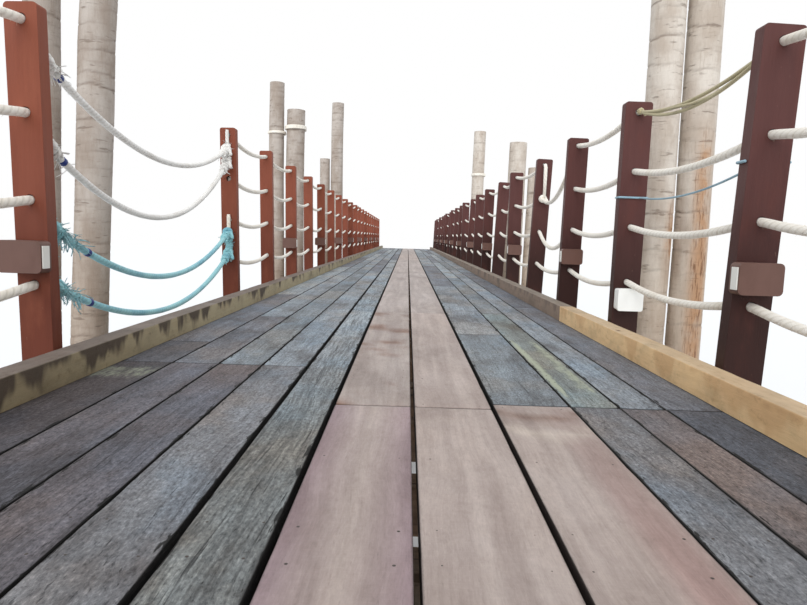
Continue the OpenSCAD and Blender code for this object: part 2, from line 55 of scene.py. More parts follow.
eye = Vector((0.04, near_end + 1.32, deck_top + 0.431))
look_down = 6.035
look_left = 0.206
tip_over = 1.746


def placed(name, data):
    """A new object of the scene."""
    made = bpy.data.objects.new(name, data)
    bpy.context.scene.collection.objects.link(made)
    return made


camera_data = bpy.data.cameras.new("deck_camera")
camera_data.sensor_width = 36
camera_data.lens = camera_data.sensor_width * focal_px / photo_width_px
camera_data.clip_end = 200
camera = placed("deck_camera", camera_data)
camera.location = eye
turned = Matrix.Rotation(math.radians(look_left), 3, "Z") @ Matrix.Rotation(math.radians(90 - look_down), 3, "X")
camera.rotation_euler = (turned @ Matrix.Rotation(math.radians(tip_over), 3, "Z")).to_euler()
bpy.context.scene.camera = camera


# The deck is eleven rows of hardwood planks, laid lengthwise and butted end to end on the joists. The two rows in
# the middle and part of a third were renewed and are smooth and pinkish; the rest is grey, split and worn round.
def colour(red, green, blue):
    """A colour as it shows on a screen, from 0 to 255, in the linear values that a shader takes."""
    shares = [c / 255 for c in (red, green, blue)]
    return [s / 12.92 if s <= 0.04045 else ((s + 0.055) / 1.055) ** 2.4 for s in shares] + [1]


class Nodes:
    """The shader nodes of a material or a world. Each value they take is a plain one or another node's output."""

    def __init__(self, owner):
        owner.use_nodes = True
        self.tree = owner.node_tree

    def fill(self, node, values):
        for socket, value in values.items():
            if isinstance(value, bpy.types.NodeSocket):
                self.tree.links.new(value, node.inputs[socket])
            else:
                node.inputs[socket].default_value = value
        return node

    def node(self, kind, values, **settings):
        made = self.tree.nodes.new("ShaderNode" + kind)
        for setting, value in settings.items():
            setattr(made, setting, value)
        return self.fill(made, values)

    def reckon(self, operation, a, b=0):
        return self.node("Math", {0: a, 1: b}, operation=operation).outputs[0]

    def mixed(self, share, under, over, mode="MIX"):
        """Two colours mixed by a share."""
        return self.node("Mix", {0: share, 6: under, 7: over}, data_type="RGBA", blend_type=mode).outputs[2]


class Finish(Nodes):
    """A material, with the shift and the colour that its nodes have reached so far."""

    def __init__(self, name, roughness, specular=0.4):
        self.material = bpy.data.materials.new(name)
        super().__init__(self.material)
        self.shader = self.tree.nodes["Principled BSDF"]
        self.fill(self.shader, {"Roughness": roughness, "Specular IOR Level": specular})
        self.shift = self.tone = None

    def times(self, a, b):
        return self.reckon("MULTIPLY", a, b)

    def plus(self, a, b):
        return self.reckon("ADD", a, b)

    def mark(self, name, output="Fac"):
        """What the corners of the mesh are marked with."""
        return self.node("Attribute", {}, attribute_name=name).outputs[output]

    def axis(self, vector, letter):
        return self.node("SeparateXYZ", {0: vector}).outputs[letter]

    def vector(self, operation, a, b):
        return self.node("VectorMath", {0: a, 1: b}, operation=operation).outputs[0]

    def spread(self, factors):
        """Shifts all that follows from board to board, so that no two look alike."""
        self.shift = self.vector("MULTIPLY", self.mark("shift", "Color"), factors)

    def bend(self, x, z=0):
        """Shifts all that follows a little more, so that the grain wanders."""
        bent = self.node("CombineXYZ", {"X": x, "Z": z}).outputs[0]
        self.shift = bent if self.shift is None else self.vector("ADD", self.shift, bent)

    def place(self, stretch=(1, 1, 1)):
        """Where a point lies on the object, in metres, shifted and then stretched along the grain."""
        here = self.node("TexCoord", {}).outputs["Object"]
        if self.shift is not None:
            here = self.vector("ADD", here, self.shift)
        return self.vector("MULTIPLY", here, stretch)

    def noise_at(self, where, scale, detail, rough=0.55, warp=0):
        """A noise from 0 to 1."""
        values = {"Vector": where, "Scale": scale, "Detail": detail, "Roughness": rough, "Distortion": warp}
        return self.node("TexNoise", values).outputs["Fac"]

    def mottle(self, stretch, *look):
        return self.noise_at(self.place(stretch), *look)

    def ramp(self, value, low, high, out_low=0.0, out_high=1.0):
        """A value stretched from one range to another, and held inside it."""
        values = {"Value": value, "From Min": low, "From Max": high, "To Min": out_low, "To Max": out_high}
        return self.node("MapRange", values, interpolation_type="SMOOTHSTEP").outputs["Result"]

    def base(self, share, under, over):
        """Starts from two colours mixed by a share."""
        self.tone = self.mixed(share, colour(*under), colour(*over))

    def cover(self, share, over):
        """Lays a colour over the one reached so far."""
        self.tone = self.mixed(share, self.tone, colour(*over))

    def shade(self, share, factors):
        """Multiplies red, green and blue by a factor each."""
        self.tone = self.mixed(share, self.tone, (*factors, 1), "MULTIPLY")

    def shades(self, *layers):
        """Shades where a value goes from one number to another, by up to a share."""
        for value, low, high, share, factors in layers:
            self.shade(self.ramp(value, low, high, 0, share), factors)

    def finished(self, relief, more=None):
        """The material, with bumps of a depth in metres over one another. A depth below zero makes them hollows."""
        under = {}
        for height, depth in relief:
            if depth < 0:
                height = self.times(height, -1.0)
            bump = self.node("Bump", {"Height": height, "Distance": abs(depth), "Strength": 1.0, **under})
            under = {"Normal": bump.outputs["Normal"]}
        self.fill(self.shader, {"Base Color": self.tone, **under, **(more or {})})
        return self.material


def solids_of(cad_name):
    """The corners of each solid in a CAD node, from the near end to the far end."""
    mesh = bmesh.new()
    mesh.from_mesh(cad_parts[cad_name].data)
    bmesh.ops.remove_doubles(mesh, verts=mesh.verts, dist=1e-5)
    left, solids = set(mesh.verts), []
    while left:
        reached = [left.pop()]
        for vert in reached:
            for edge in vert.link_edges:
                other = edge.other_vert(vert)
                if other in left:
                    left.remove(other)
                    reached.append(other)
        solids.append(np.array([v.co for v in reached]))
    mesh.free()
    return sorted(solids, key=lambda corners: corners[:, 1].min())


class Assembly:
    """Like parts gathered into one piece, with marks on their corners for its finish to read."""

    def __init__(self):
        self.corners, self.faces, self.marks = [], [], {}

    def join(self, corners, faces, **marks):
        first = len(self.corners)
        self.corners += corners
        self.faces += [[first + c for c in face] for face in faces]
        for name, values in marks.items():
            self.marks.setdefault(name, []).extend(values)

    def made(self, name, material, sharp_deg=None, smooth=True):
        """The mesh object, carried by the jetty's one body."""
        mesh = bpy.data.meshes.new(name)
        mesh.from_pydata([tuple(c) for c in self.corners], [], self.faces)
        mesh.materials.append(material)
        if smooth:
            mesh.shade_smooth()
        if sharp_deg is not None:
            mesh.set_sharp_from_angle(angle=math.radians(sharp_deg))
        for mark, values in self.marks.items():
            values = np.asarray(values, np.float32)
            kind, field = ("FLOAT_COLOR", "color") if values.ndim > 1 else ("FLOAT", "value")
            mesh.attributes.new(mark, kind, "POINT").data.foreach_set(field, values.ravel())
        made = placed(name, mesh)
        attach(made, "root")
        return made


def waver(x, y, z):
    """A smooth noise from -1 to 1."""
    return noise.noise(Vector((x, y, z)))


def stations(start, end):
    """Where a board is cut across: close together by the eye, and wider the farther off."""
    finest, wider_per_m, widest = 0.022, 0.014, 0.3
    along = [start, start + 0.003, start + 0.008]
    while True:
        step = min(widest, finest + wider_per_m * abs(along[-1] - eye.y))
        if along[-1] + step > end - 0.01:
            return along + [end - 0.008, end - 0.003, end]
        along.append(along[-1] + step)


def ring_faces(rings, around):
    """Four-sided faces between one ring of corners and the next."""
    return [[r * around + a, r * around + (a + 1) % around, (r + 1) * around + (a + 1) % around, (r + 1) * around + a]
            for r in range(rings - 1) for a in range(around)]


def worn_board(low, high, seed, edge_r, wear, hollow):
    """A board along the jetty whose upper edges are worn round and whose top is slightly hollow."""
    across = (0.03, 0.12, 0.3, 0.5, 0.7, 0.88, 0.97)
    rounding = ((0, 1), (0.28, 0.3), (1, 0.03))
    end_drops, sides = (0.0035, 0.0009, 0), (0, 1)
    corners, rows = [], stations(low[1], high[1])
    for i, y in enumerate(rows):
        end_drop = end_drops[min(i, len(rows) - 1 - i, 2)]
        chip = [max(0.0, waver(s * 9.1 + seed, y * 7, seed) - 0.25) for s in sides]
        inset = [wear * (0.5 + 0.5 * waver(seed, y * 2.3, s * 5.0)) + end_drop * 0.4 for s in sides]
        radius = [edge_r * (1 + 0.5 * waver(y * 3.1, seed, s * 3.0)) + 0.009 * chip[s] for s in sides]
        top = high[2] - end_drop - 0.0008 - 0.0008 * waver(y * 1.1, seed * 3, 0)
        left, right = low[0] + inset[0], high[0] - inset[1]
        outline = [(left, low[2])] + [(left + a * radius[0], top - b * radius[0]) for a, b in rounding]
        for u in across:
            dip = hollow * (1 - (2 * u - 1) ** 2) + 0.0006 * waver(u * 6, y * 3, seed)
            outline.append((left + radius[0] + u * (right - left - radius[0] - radius[1]), top - dip))
        outline += [(right - a * radius[1], top - b * radius[1]) for a, b in rounding[::-1]] + [(right, low[2])]
        corners += [(x, y, z) for x, z in outline]
    n = len(outline)
    ends = [list(range(n))[::-1], [(len(rows) - 1) * n + a for a in range(n)]]
    return corners, [face[::-1] for face in ring_faces(len(rows), n) + ends]


def plank_finish(name, fibre, figure, roughness):
    """Bare planks: a broad soft figure, short fibres and dashes, a few splits, darker edges, and painted shade at the
    gaps.
    """
    wood = Finish(name, roughness, 0.3)
    lichen = wood.plus(wood.mottle((1, 0.3, 1), 45, 6, 0.75), wood.mark("lichen"))
    wood.spread((7, 31, 3))
    patch = wood.mottle((1, 0.45, 1), 4.5, 5, 0.62)
    warm = wood.mottle((1, 0.7, 1), 2.6, 4, 0.6)
    speck = wood.mottle((1, 0.5, 1), 170, 6, 0.78)
    blotch = wood.mottle((1, 0.5, 1), 34, 5, 0.7, 0.3)
    sawn = wood.mottle((0.08, 1, 1), 330, 3, 0.6)
    notch_shade = wood.ramp(wood.mottle((1, 0.13, 1), 85, 4, 0.65), 0.48, 0.66, 0, 0.6)
    wood.bend(wood.times(wood.mottle((1.5, 1.3, 1.5), 1.0, 2), 0.09))
    broad = wood.mottle((1, 0.05, 1), 26, 3, 0.5)
    strand = wood.mottle((1, 0.045, 1), 130, 4, 0.6)
    fine = wood.mottle((1, 0.1, 1), 420, 5, 0.7)
    dash = wood.ramp(wood.mottle((1, 0.17, 1), 210, 3, 0.6), 0.64, 0.72)
    split = wood.ramp(wood.mottle((1, 0.028, 1), 90, 3, 0.65), 0.63, 0.68)
    coarse = wood.times(wood.mark("coarse"), fibre)
    weather, spread, hair = 0.5 + 0.8 * fibre, 0.2 + 0.8 * fibre, 0.1 + 0.5 * fibre
    dark_fibre = (0.3, 0.3, 0.31)
    wood.tone = wood.mark("tone", "Color")
    wood.shades((patch, 0.5, 0.3, weather, (0.6, 0.56, 0.54)),
                (patch, 0.48, 0.7, weather, (1.24, 1.28, 1.31)),
                (warm, 0.5, 0.64, 1.3 * fibre, (1.16, 1.02, 0.9)),
                (warm, 0.48, 0.36, 1.3 * fibre, (0.9, 1.0, 1.08)),
                (strand, 0.56, 0.34, 0.3, (0.78, 0.75, 0.74)),
                (blotch, 0.5, 0.32, spread, (0.66, 0.62, 0.6)),
                (blotch, 0.5, 0.7, spread, (1.26, 1.27, 1.28)),
                (sawn, 0.5, 0.7, 0.16, (1.3, 1.3, 1.3)),
                (broad, 0.35, 0.65, figure, (0.78, 0.74, 0.74)),
                (broad, 0.6, 0.3, figure, (1.2, 1.2, 1.2)))
    wood.shade(wood.times(wood.ramp(strand, 0.62, 0.36), coarse), dark_fibre)
    wood.shades((fine, 0.5, 0.3, hair, (0.5, 0.49, 0.5)),
                (fine, 0.5, 0.72, hair, (1.6, 1.6, 1.6)),
                (speck, 0.5, 0.66, 1.5 * fibre, (1.7, 1.66, 1.62)),
                (speck, 0.5, 0.34, 1.5 * fibre, (0.4, 0.39, 0.4)))
    wood.shade(wood.times(dash, 0.1 + 1.1 * fibre), dark_fibre)
    wood.cover(wood.ramp(lichen, 0.9, 1.35, 0, 0.85), (172, 178, 156))
    wood.cover(wood.times(split, coarse), (34, 34, 36))
    # Every edge of a board is darker for a few millimetres.
    darkened_edge = wood.plus(wood.mark("edge"), wood.times(speck, 0.8))
    wood.cover(wood.ramp(darkened_edge, 0.85, 1.25, 0, 0.5 + 0.6 * fibre), (46, 42, 42))
    # Near-black chips and splits along the side edges are painted shade, where the edge opens onto the gap below.
    wood.cover(wood.ramp(wood.plus(wood.mark("rim"), notch_shade), 0.94, 1.06, 0, 1.5 * fibre), (10, 9, 9))
    # The side faces inside the deck are darkened as painted shade, since they stand deep in the narrow gaps between
    # boards.
    sideways = wood.axis(wood.node("NewGeometry", {}).outputs["True Normal"], "X")
    upright = wood.ramp(wood.reckon("ABSOLUTE", sideways), 0.6, 0.95)
    wood.shade(wood.times(upright, wood.mark("seam")), (0.16, 0.14, 0.14))
    dull = wood.ramp(fine, 0.2, 0.8, roughness + 0.1, roughness - 0.08)
    return wood.finished([(strand, 0.0018 * fibre), (speck, 0.0016 * fibre), (fine, 0.0005 + 0.001 * fibre),
                          (dash, -0.0018 * fibre), (split, -0.003 * fibre)], {"Roughness": dull})


old_plank = plank_finish("weathered_plank", 0.62, 0.45, 0.7)
new_plank = plank_finish("renewed_plank", 0.07, 0.55, 0.55)
soot, slate, violet_grey = (77, 75, 80), (96, 97, 103), (102, 99, 104)
iron, ash, steel_grey = (117, 120, 127), (124, 126, 130), (128, 136, 142)
silver, pale_silver, umber = (138, 146, 153), (152, 160, 165), (113, 106, 106)
moss_grey, moss_shade = (131, 138, 136), (120, 124, 124)
mauve, fawn, tan, wheat = (150, 131, 134), (161, 149, 143), (169, 155, 148), (169, 158, 153)
blush, blotch_brown, pale_arc = (146, 98, 94), (122, 92, 77), (200, 188, 176)
# Each row's tones run from the plank by the eye outwards. The farther grey planks are lighter partly from their own
# weathering and partly from a painted sheen of grazing light.
strake_tones = {
    1: [soot, slate, iron], 2: [violet_grey, iron, silver], 3: [violet_grey, steel_grey, steel_grey],
    4: [ash, silver, silver], 5: [moss_shade, moss_shade, pale_silver], 6: [tan, fawn, wheat], 7: [tan, tan, wheat],
    8: [tan, steel_grey, silver], 9: [ash, moss_grey, steel_grey], 10: [umber, silver, silver], 11: [slate, iron, iron],
}
later_tones = {True: [wheat, tan, fawn], False: [silver, steel_grey, pale_silver, iron]}


def toned(tone, over, share):
    return [t + (o - t) * max(0.0, min(1.0, share)) for t, o in zip(tone, colour(*over))]


def plank_tone(strake, i, tone, across, ahead):
    """The colour of one place on a plank: how far across it, and how far ahead of the eye."""
    # On one plank the grey turns paler with distance from the eye, a painted sheen of grazing light on the far wood.
    if (strake, i) == (5, 1):
        tone = toned(tone, pale_silver, (ahead - 1.3) / 1.0)
    if (strake, i) == (6, 0):
        tone = toned(tone, mauve, abs(2 * across - 1) * 1.3 - 0.2)
    if (strake, i) == (6, 1):
        tone = toned(tone, blotch_brown, 2.2 * waver(across * 2, (ahead + eye.y) * 9, 4.4) - 0.1)
    if (strake, i) == (8, 0):
        tone = toned(tone, blush, (0.62 - 2.2 * abs(across - 0.78)) * min(1.0, max(0.0, 1.7 - ahead)))
        # Near its far end the plank crosses a curved pale band with a dark band just beyond it.
        bow = 0.05 * math.sin(across * 3.1)
        tone = toned(tone, pale_arc, 0.8 - abs(ahead - 1.4 + bow) / 0.06)
        tone = toned(tone, blotch_brown, 0.75 - abs(ahead - 1.53 + bow) / 0.06)
    return tone


def lichen_growth(strake, across, ahead):
    """Lichen lies in two stripes on one plank right of the middle, and in one patch by the left kerb."""
    if strake == 9:
        stripe = max(1 - abs(across - 0.12) / 0.2, 1 - abs(across - 0.8) / 0.25, 0.35)
        return max(0.0, min(1, (ahead - 1.6) / 0.2, (3.0 - ahead) / 0.5) * stripe)
    if strake == 1:
        return max(0.0, 0.55 * min(1, (ahead - 1.65) / 0.15, (2.05 - ahead) / 0.15))
    return 0.0


def random_shift():
    """A shift of the grain, so that no two boards look alike."""
    return [dice.random(), dice.random(), dice.random(), 1]


dice = random.Random(7)
worn_band, rim_band, seam_margin = 0.006, 0.016, 0.01
plank_sharp_deg = 50
planks = []
deck_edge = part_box("deck_strake_11")[1].x
for strake in range(1, 12):
    name = f"deck_strake_{strake}"
    boards = {True: Assembly(), False: Assembly()}
    for i, solid in enumerate(solids_of(name)):
        low, high = solid.min(0), solid.max(0)
        planks.append((low, high))
        is_new = strake in (6, 7) or (strake, i) == (8, 0)
        tones, later = strake_tones[strake], later_tones[is_new]
        tone = colour(*(tones[i] if i < len(tones) else later[(i + strake * 3) % len(later)]))
        swelling = np.array([0.0016 if strake > 8 else 0.0, 0, 0])
        edge_r, wear, hollow = (0.0012, 0.0005, 0.0004) if is_new else (0.0022, 0.0012, 0.001)
        corners, faces = worn_board(low - swelling, high + swelling, strake * 13.7 + i * 3.1, edge_r, wear, hollow)
        coarse = 1.0 if strake == 5 else dice.uniform(0.25, 0.5)
        x, y, _ = np.array(corners).T
        across, ahead = (x - low[0]) / (high[0] - low[0]), y - eye.y
        side_gap, end_gap = np.minimum(x - low[0], high[0] - x), np.minimum(y - low[1], high[1] - y)
        boards[is_new].join(
            corners, faces,
            tone=[plank_tone(strake, i, tone, a, b) for a, b in zip(across, ahead)],
            shift=[random_shift()] * len(corners),
            coarse=[coarse] * len(corners),
            edge=np.maximum(0, 1 - np.minimum(side_gap, end_gap) / worn_band),
            lichen=[lichen_growth(strake, a, b) for a, b in zip(across, ahead)],
            rim=np.maximum(0, 1 - side_gap / rim_band),
            seam=np.abs(x) < deck_edge - seam_margin)
    for is_new, gathered in boards.items():
        if gathered.corners:
            board = gathered.made(f"planks_{strake}" + ("_renewed" if is_new else ""),
                                  new_plank if is_new else old_plank, plank_sharp_deg)
            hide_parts(name)


# Two nails hold each plank to each joist and cross bearer. Their flat heads have gone dark and lie just below
# the surface.
def speckled_finish(name, roughness, specular, grain, tones, depth, metallic=0.0):
    """Two tones that mix by one grain, which is its scale and its detail."""
    speckled = Finish(name, roughness, specular)
    speckle = speckled.mottle((1, 1, 1), *grain)
    speckled.base(speckle, *tones)
    return speckled.finished([(speckle, depth)], {"Metallic": metallic})


def circle(count, turn=0.0):
    """The cosine and the sine of even steps round a circle."""
    angles = [math.tau * s / count + turn for s in range(count)]
    return [(math.cos(angle), math.sin(angle)) for angle in angles]


nail_r, nail_sides = 0.0027, 8
nail_sway = 0.006
nail_from_side, nail_from_end = 0.024, 0.022
butt_reach = 0.015
nail_tones = ((58, 52, 50), (76, 66, 60))
nail_steel = speckled_finish("dark_nail_steel", 0.5, 0.5, (240, 3), nail_tones, 0.0006, 0.2)
nails = Assembly()
head_faces = [[0, 1 + s, 1 + (s + 1) % nail_sides] for s in range(nail_sides)]
timber_rows = [s.mean(0)[1] for n in ("deck_joists", "rail_bearers") for s in solids_of(n)]
for low, high in planks:
    for timber_y in timber_rows:
        at_an_end = abs(timber_y - low[1]) < butt_reach or abs(timber_y - high[1]) < butt_reach
        if low[1] + butt_reach < timber_y < high[1] - butt_reach or at_an_end:
            y = min(max(timber_y, low[1] + nail_from_end), high[1] - nail_from_end)
            for x in (low[0] + nail_from_side, high[0] - nail_from_side):
                x, y = x + dice.uniform(-nail_sway, nail_sway), y + dice.uniform(-nail_sway, nail_sway)
                rim = [(x + nail_r * c, y + nail_r * s, high[2] - 0.0012) for c, s in circle(nail_sides)]
                nails.join([(x, y, high[2] - 0.0003)] + rim, head_faces)
nails.made("deck_nails", nail_steel)


# A kerb runs along each edge of the deck, of squared softwood in lengths butted end to end. The nearest right one is
# fresh and yellow; the others are old and brown, and the left one is stained dark from its top edge down.
def kerb_finish(name, face_tone, top_tone, stain_tone, stain_share, knots):
    wood = Finish(name, 0.65, 0.3)
    bands = wood.mottle((0.5, 1, 0.45), 7, 3, 0.55, 0.2)
    dirt = wood.mottle((1, 0.5, 1), 45, 6, 0.75)
    wood.spread((3, 17, 3))
    to_knot = wood.node("TexVoronoi", {"Vector": wood.place((1, 0.5, 1)), "Scale": 2.2}).outputs["Distance"]
    patch = wood.mottle((1, 0.6, 1), 9, 5, 0.62)
    wander = wood.times(wood.mottle((1, 1.6, 1), 1.4, 2), 0.06)
    bend = wood.plus(wander, wood.ramp(to_knot, 0.0, 0.2, 0.05, 0.0))
    wood.bend(bend, bend)
    rings = wood.mottle((1, 0.05, 1), 60, 4, 0.6)
    fine = wood.mottle((1, 0.06, 1), 380, 5, 0.7)
    up = wood.axis(wood.node("NewGeometry", {}).outputs["Normal"], "Z")
    near = wood.mark("near")
    wood.base(wood.ramp(up, 0.4, 0.9), face_tone, top_tone)
    on_faces = wood.ramp(up, 0.9, 0.4, 0, stain_share ** 2)
    wood.shade(wood.times(wood.reckon("POWER", near, 2.5), on_faces), (0.6, 0.56, 0.52))
    wood.shades((patch, 0.3, 0.7, 0.8, (1.22, 1.2, 1.16)),
                (patch, 0.5, 0.25, 0.7, (0.72, 0.7, 0.66)),
                (rings, 0.45, 0.75, 0.35, (0.7, 0.6, 0.48)),
                (fine, 0.3, 0.8, 0.35, (1.25, 1.23, 1.2)))
    hanging_dark = wood.plus(wood.plus(bands, wood.times(wood.mark("rise"), 0.2)), wood.times(near, 0.08))
    stain = wood.times(wood.ramp(hanging_dark, 0.64, 0.76, 0, stain_share), wood.ramp(up, 0.9, 0.4, 0.25, 1.0))
    wood.cover(stain, stain_tone)
    wood.shades((dirt, 0.52, 0.72, 0.35 + 0.3 * stain_share, (0.5, 0.44, 0.38)))
    wood.cover(wood.ramp(to_knot, 0.012, 0.03, knots, 0.0), (84, 52, 34))
    return wood.finished([(rings, 0.0008), (fine, 0.0009)])


fresh_kerb = kerb_finish("fresh_kerb_timber", (214, 183, 140), (194, 172, 142), (186, 138, 92), 0.4, 0.9)
brown_kerb = kerb_finish("brown_kerb_timber", (128, 112, 100), (134, 124, 114), (70, 58, 50), 0.5, 0.3)
stained_kerb = kerb_finish("stained_kerb_timber", (158, 147, 120), (122, 111, 104), (66, 54, 44), 0.95, 0.3)
kerb_edge_r, kerb_wear, kerb_hollow = 0.004, 0.0015, 0.0004
dark_until, dark_fade = 3.4, 1.8
for name, seed in (("left_kerb", 3.3), ("right_kerb", 8.8)):
    timbers = {}
    kerb_low, kerb_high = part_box(name)
    for i, solid in enumerate(solids_of(name)):
        wood = stained_kerb if name == "left_kerb" else (brown_kerb if i else fresh_kerb)
        corners, faces = worn_board(solid.min(0), solid.max(0), seed + i * 2.9, kerb_edge_r, kerb_wear, kerb_hollow)
        timbers.setdefault(wood, Assembly()).join(
            corners, faces,
            shift=[random_shift()] * len(corners),
            rise=[(z - kerb_low.z) / (kerb_high.z - kerb_low.z) for x, y, z in corners],
            near=[max(0.0, min(1.0, (dark_until - (y - eye.y)) / dark_fade)) for x, y, z in corners])
    for n, (wood, gathered) in enumerate(timbers.items()):
        kerb = gathered.made(f"{name}_timbers_{n + 1}", wood, plank_sharp_deg)
        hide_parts(name)


# Below the deck lie the joists and the cross bearers, the four stringers, and at each bent a pair of crossheads
# and two brace boards. All are sawn hardwood, brown where dry and green towards the water.
def frame_timber_finish(name, grain, tone):
    wood = Finish(name, 0.72)
    stretch = [0.05 if axis in grain else 1 for axis in "XYZ"]
    broad = wood.mottle(stretch, 60, 5, 0.6)
    fine = wood.mottle(stretch, 340, 5, 0.7)
    patch = wood.mottle((1, 1, 1), 2.6, 5, 0.6)
    split = wood.ramp(wood.mottle([s * 0.6 for s in stretch], 110, 3, 0.6), 0.62, 0.67)
    wood.tone = colour(*tone)
    wood.shades((broad, 0.3, 0.7, 0.7, (0.5, 0.46, 0.44)),
                (fine, 0.3, 0.8, 0.5, (1.4, 1.38, 1.34)))
    wood.cover(wood.ramp(patch, 0.5, 0.7, 0, 0.5), (120, 116, 106))
    wood.cover(wood.times(split, 0.8), (36, 30, 27))
    wood.cover(wood.ramp(wood.axis(wood.place(), "Z"), 1.0, 0.15, 0, 0.55), (74, 80, 62))
    return wood.finished([(broad, 0.0015), (fine, 0.0012), (split, -0.003)])


def soften(cad_name, material, radius, segments=2):
    """Gives a CAD piece its finish and takes the sharpness off its edges."""
    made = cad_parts[cad_name]
    made.data.materials.clear()
    made.data.materials.append(material)
    weld = made.modifiers.new("joined_corners", "WELD")
    weld.merge_threshold = 1e-5
    ease = made.modifiers.new("eased_edges", "BEVEL")
    ease.width = radius
    ease.segments = segments
    ease.limit_method = "ANGLE"
    ease.angle_limit = math.radians(40)
    ease.harden_normals = False
    made.data.shade_smooth()
    smooth = made.modifiers.new("flat_faces", "WEIGHTED_NORMAL")
    smooth.keep_sharp = True


frame_edge_r = 0.004
crosswise = frame_timber_finish("crosswise_frame_timber", "X", (128, 104, 84))
lengthwise = frame_timber_finish("lengthwise_frame_timber", "Y", (112, 98, 82))
for name in ("deck_joists", "rail_bearers", "crossheads_near", "crossheads_far", "braces_near", "braces_far"):
    soften(name, crosswise, frame_edge_r)
for name in ("stringer_left_outer", "stringer_left_inner", "stringer_right_inner", "stringer_right_outer"):
    soften(name, lengthwise, frame_edge_r)


# The piles are coconut-palm trunks, most in pairs, cut off at all heights above the rail. Each fallen leaf left a
# ring, and dark gaps between the rings run unevenly round the grey-beige bark.
def palm_finish():
    bark = Finish("palm_trunk_bark", 0.82, 0.25)
    height = bark.axis(bark.place(), "Z")
    bark.spread((9, 9, 9))
    upright = bark.mottle((1, 1, 0.09), 120, 5, 0.65)
    fine = bark.mottle((1, 1, 0.3), 420, 4, 0.7)
    patch = bark.mottle((1, 1, 0.5), 7, 6, 0.65)
    level = bark.mottle((0.16, 0.16, 1), 70, 5, 0.7)
    dashes = bark.ramp(bark.mottle((0.22, 0.22, 1), 46, 4, 0.55), 0.6, 0.7)
    bark.base(bark.ramp(patch, 0.32, 0.68), (184, 171, 158), (214, 206, 196))
    bark.shade(bark.mark("dim"), (0.68, 0.66, 0.67))
    bark.shades((height, deck_top + 0.7, deck_top, 0.6, (0.86, 0.76, 0.66)),
                (upright, 0.54, 0.74, 0.5, (0.7, 0.64, 0.58)),
                (level, 0.54, 0.72, 0.4, (0.7, 0.66, 0.63)))
    bark.cover(bark.times(dashes, 0.55), (112, 96, 84))
    bark.shades((fine, 0.35, 0.75, 0.3, (1.22, 1.21, 1.2)))
    rust = bark.times(bark.mark("stain"), bark.ramp(patch, 0.4, 0.54, 0.3, 0.95))
    bark.cover(rust, (180, 140, 106))
    bark.cover(bark.times(rust, bark.ramp(upright, 0.5, 0.64)), (112, 76, 54))
    # The gaps between the leaf rings are painted darker as shade in the crevices, and the sawn heads take a little of
    # this colour as their end-grain tone.
    bark.cover(bark.times(bark.mark("groove"), 0.8), (104, 88, 76))
    bark.cover(bark.ramp(height, 0.9, 0.1, 0, 0.7), (76, 80, 62))
    return bark.finished([(upright, 0.0018), (level, 0.0016), (dashes, -0.0015), (fine, 0.0012)])


def trunk_ends(solid):
    """The foot and the head of a trunk: the middle of each and its radius."""
    low_z, high_z = solid[:, 2].min(), solid[:, 2].max()
    rings = solid[solid[:, 2] < low_z + 0.002], solid[solid[:, 2] > high_z - 0.01]
    (foot_x, y, _), (head_x, _, _) = ((ring.min(0) + ring.max(0)) / 2 for ring in rings)
    foot_r, head_r = ((ring[:, 0].max() - ring[:, 0].min()) / 2 for ring in rings)
    return (foot_x, y, low_z), foot_r, (head_x, y, high_z), head_r


def ring_heights(top, own_dice, gap):
    """Heights of the gaps between leaf rings, how deep each is, where round the trunk it fades, and its slope."""
    rings, z = [], 0.03
    while z < top - 0.02:
        rings.append((z, own_dice.uniform(0.15, 1) ** 1.4, own_dice.uniform(0, math.tau), own_dice.uniform(0, 0.014)))
        z += gap * own_dice.uniform(0.6, 1.5)
    return rings


def palm_trunk(foot, foot_r, head, head_r, step, sides, seed, gap, curve, stain_from, stain_to, stain_turn):
    """Corners, faces, gap depth and stain of a ringed trunk between its foot and its sawn head."""
    own_dice = random.Random(seed)
    top = head[2] - foot[2]
    rings = ring_heights(top, own_dice, gap)
    rows = max(8, int(top / step))
    levels = np.linspace(0, top, rows + 1)
    turns = np.arange(sides) / sides * math.tau
    at, depths, fades, slopes = (np.array(c)[:, None, None] for c in zip(*rings))
    wave = 0.005 * np.sin(2 * turns + fades) + 0.003 * np.sin(5 * turns + 3 * fades) + slopes * np.cos(turns - fades)
    away = np.abs(levels[None, :, None] - at - wave)
    width = 0.0035 + 0.5 * step
    cut = depths * (0.55 + 0.45 * np.cos(turns - fades)) * np.clip(1 - away / width, 0, 1)
    groove = cut.max(0)
    swell = np.array([[waver(math.cos(t) * 1.3 + seed, math.sin(t) * 1.3, z * 2.2) for t in turns] for z in levels])
    share = (levels / top)[:, None]
    radius = (foot_r + (head_r - foot_r) * share) * (0.985 + 0.03 * swell) + 0.001 - 0.004 * groove
    centre = np.array(foot) + (np.array(head) - np.array(foot)) * share
    centre[:, 0] += 0.006 * np.sin(levels * 2.1 + seed) + np.interp(levels, *curve)
    corners = np.stack([centre[:, 0:1] + radius * np.cos(turns), centre[:, 1:2] + radius * np.sin(turns),
                        np.repeat(centre[:, 2:3], sides, 1)], 2).reshape(-1, 3).tolist()
    first_rim, first_inner = rows * sides, len(corners)
    middle_x, middle_y, _ = centre[-1]
    rim_share, saw_marks = 0.9, 0.004
    for x, y, z in corners[first_rim:]:
        corners.append((middle_x + (x - middle_x) * rim_share, middle_y + (y - middle_y) * rim_share,
                        z - saw_marks * own_dice.random()))
    faces = ring_faces(rows + 2, sides)
    faces += [[first_inner + a for a in range(sides)], list(range(sides))[::-1]]
    spread = np.clip(3.4 * np.cos(turns - stain_turn) - 2.4, 0, 1)[None, :]
    fade = 0.2
    tall = np.clip((levels - stain_from) / fade, 0, 1) * np.clip((stain_to - levels) / fade, 0, 1)
    stain = (tall[:, None] * spread).ravel().tolist() + [0.0] * sides
    return corners, faces, groove.ravel().tolist() + [0.35] * sides, stain


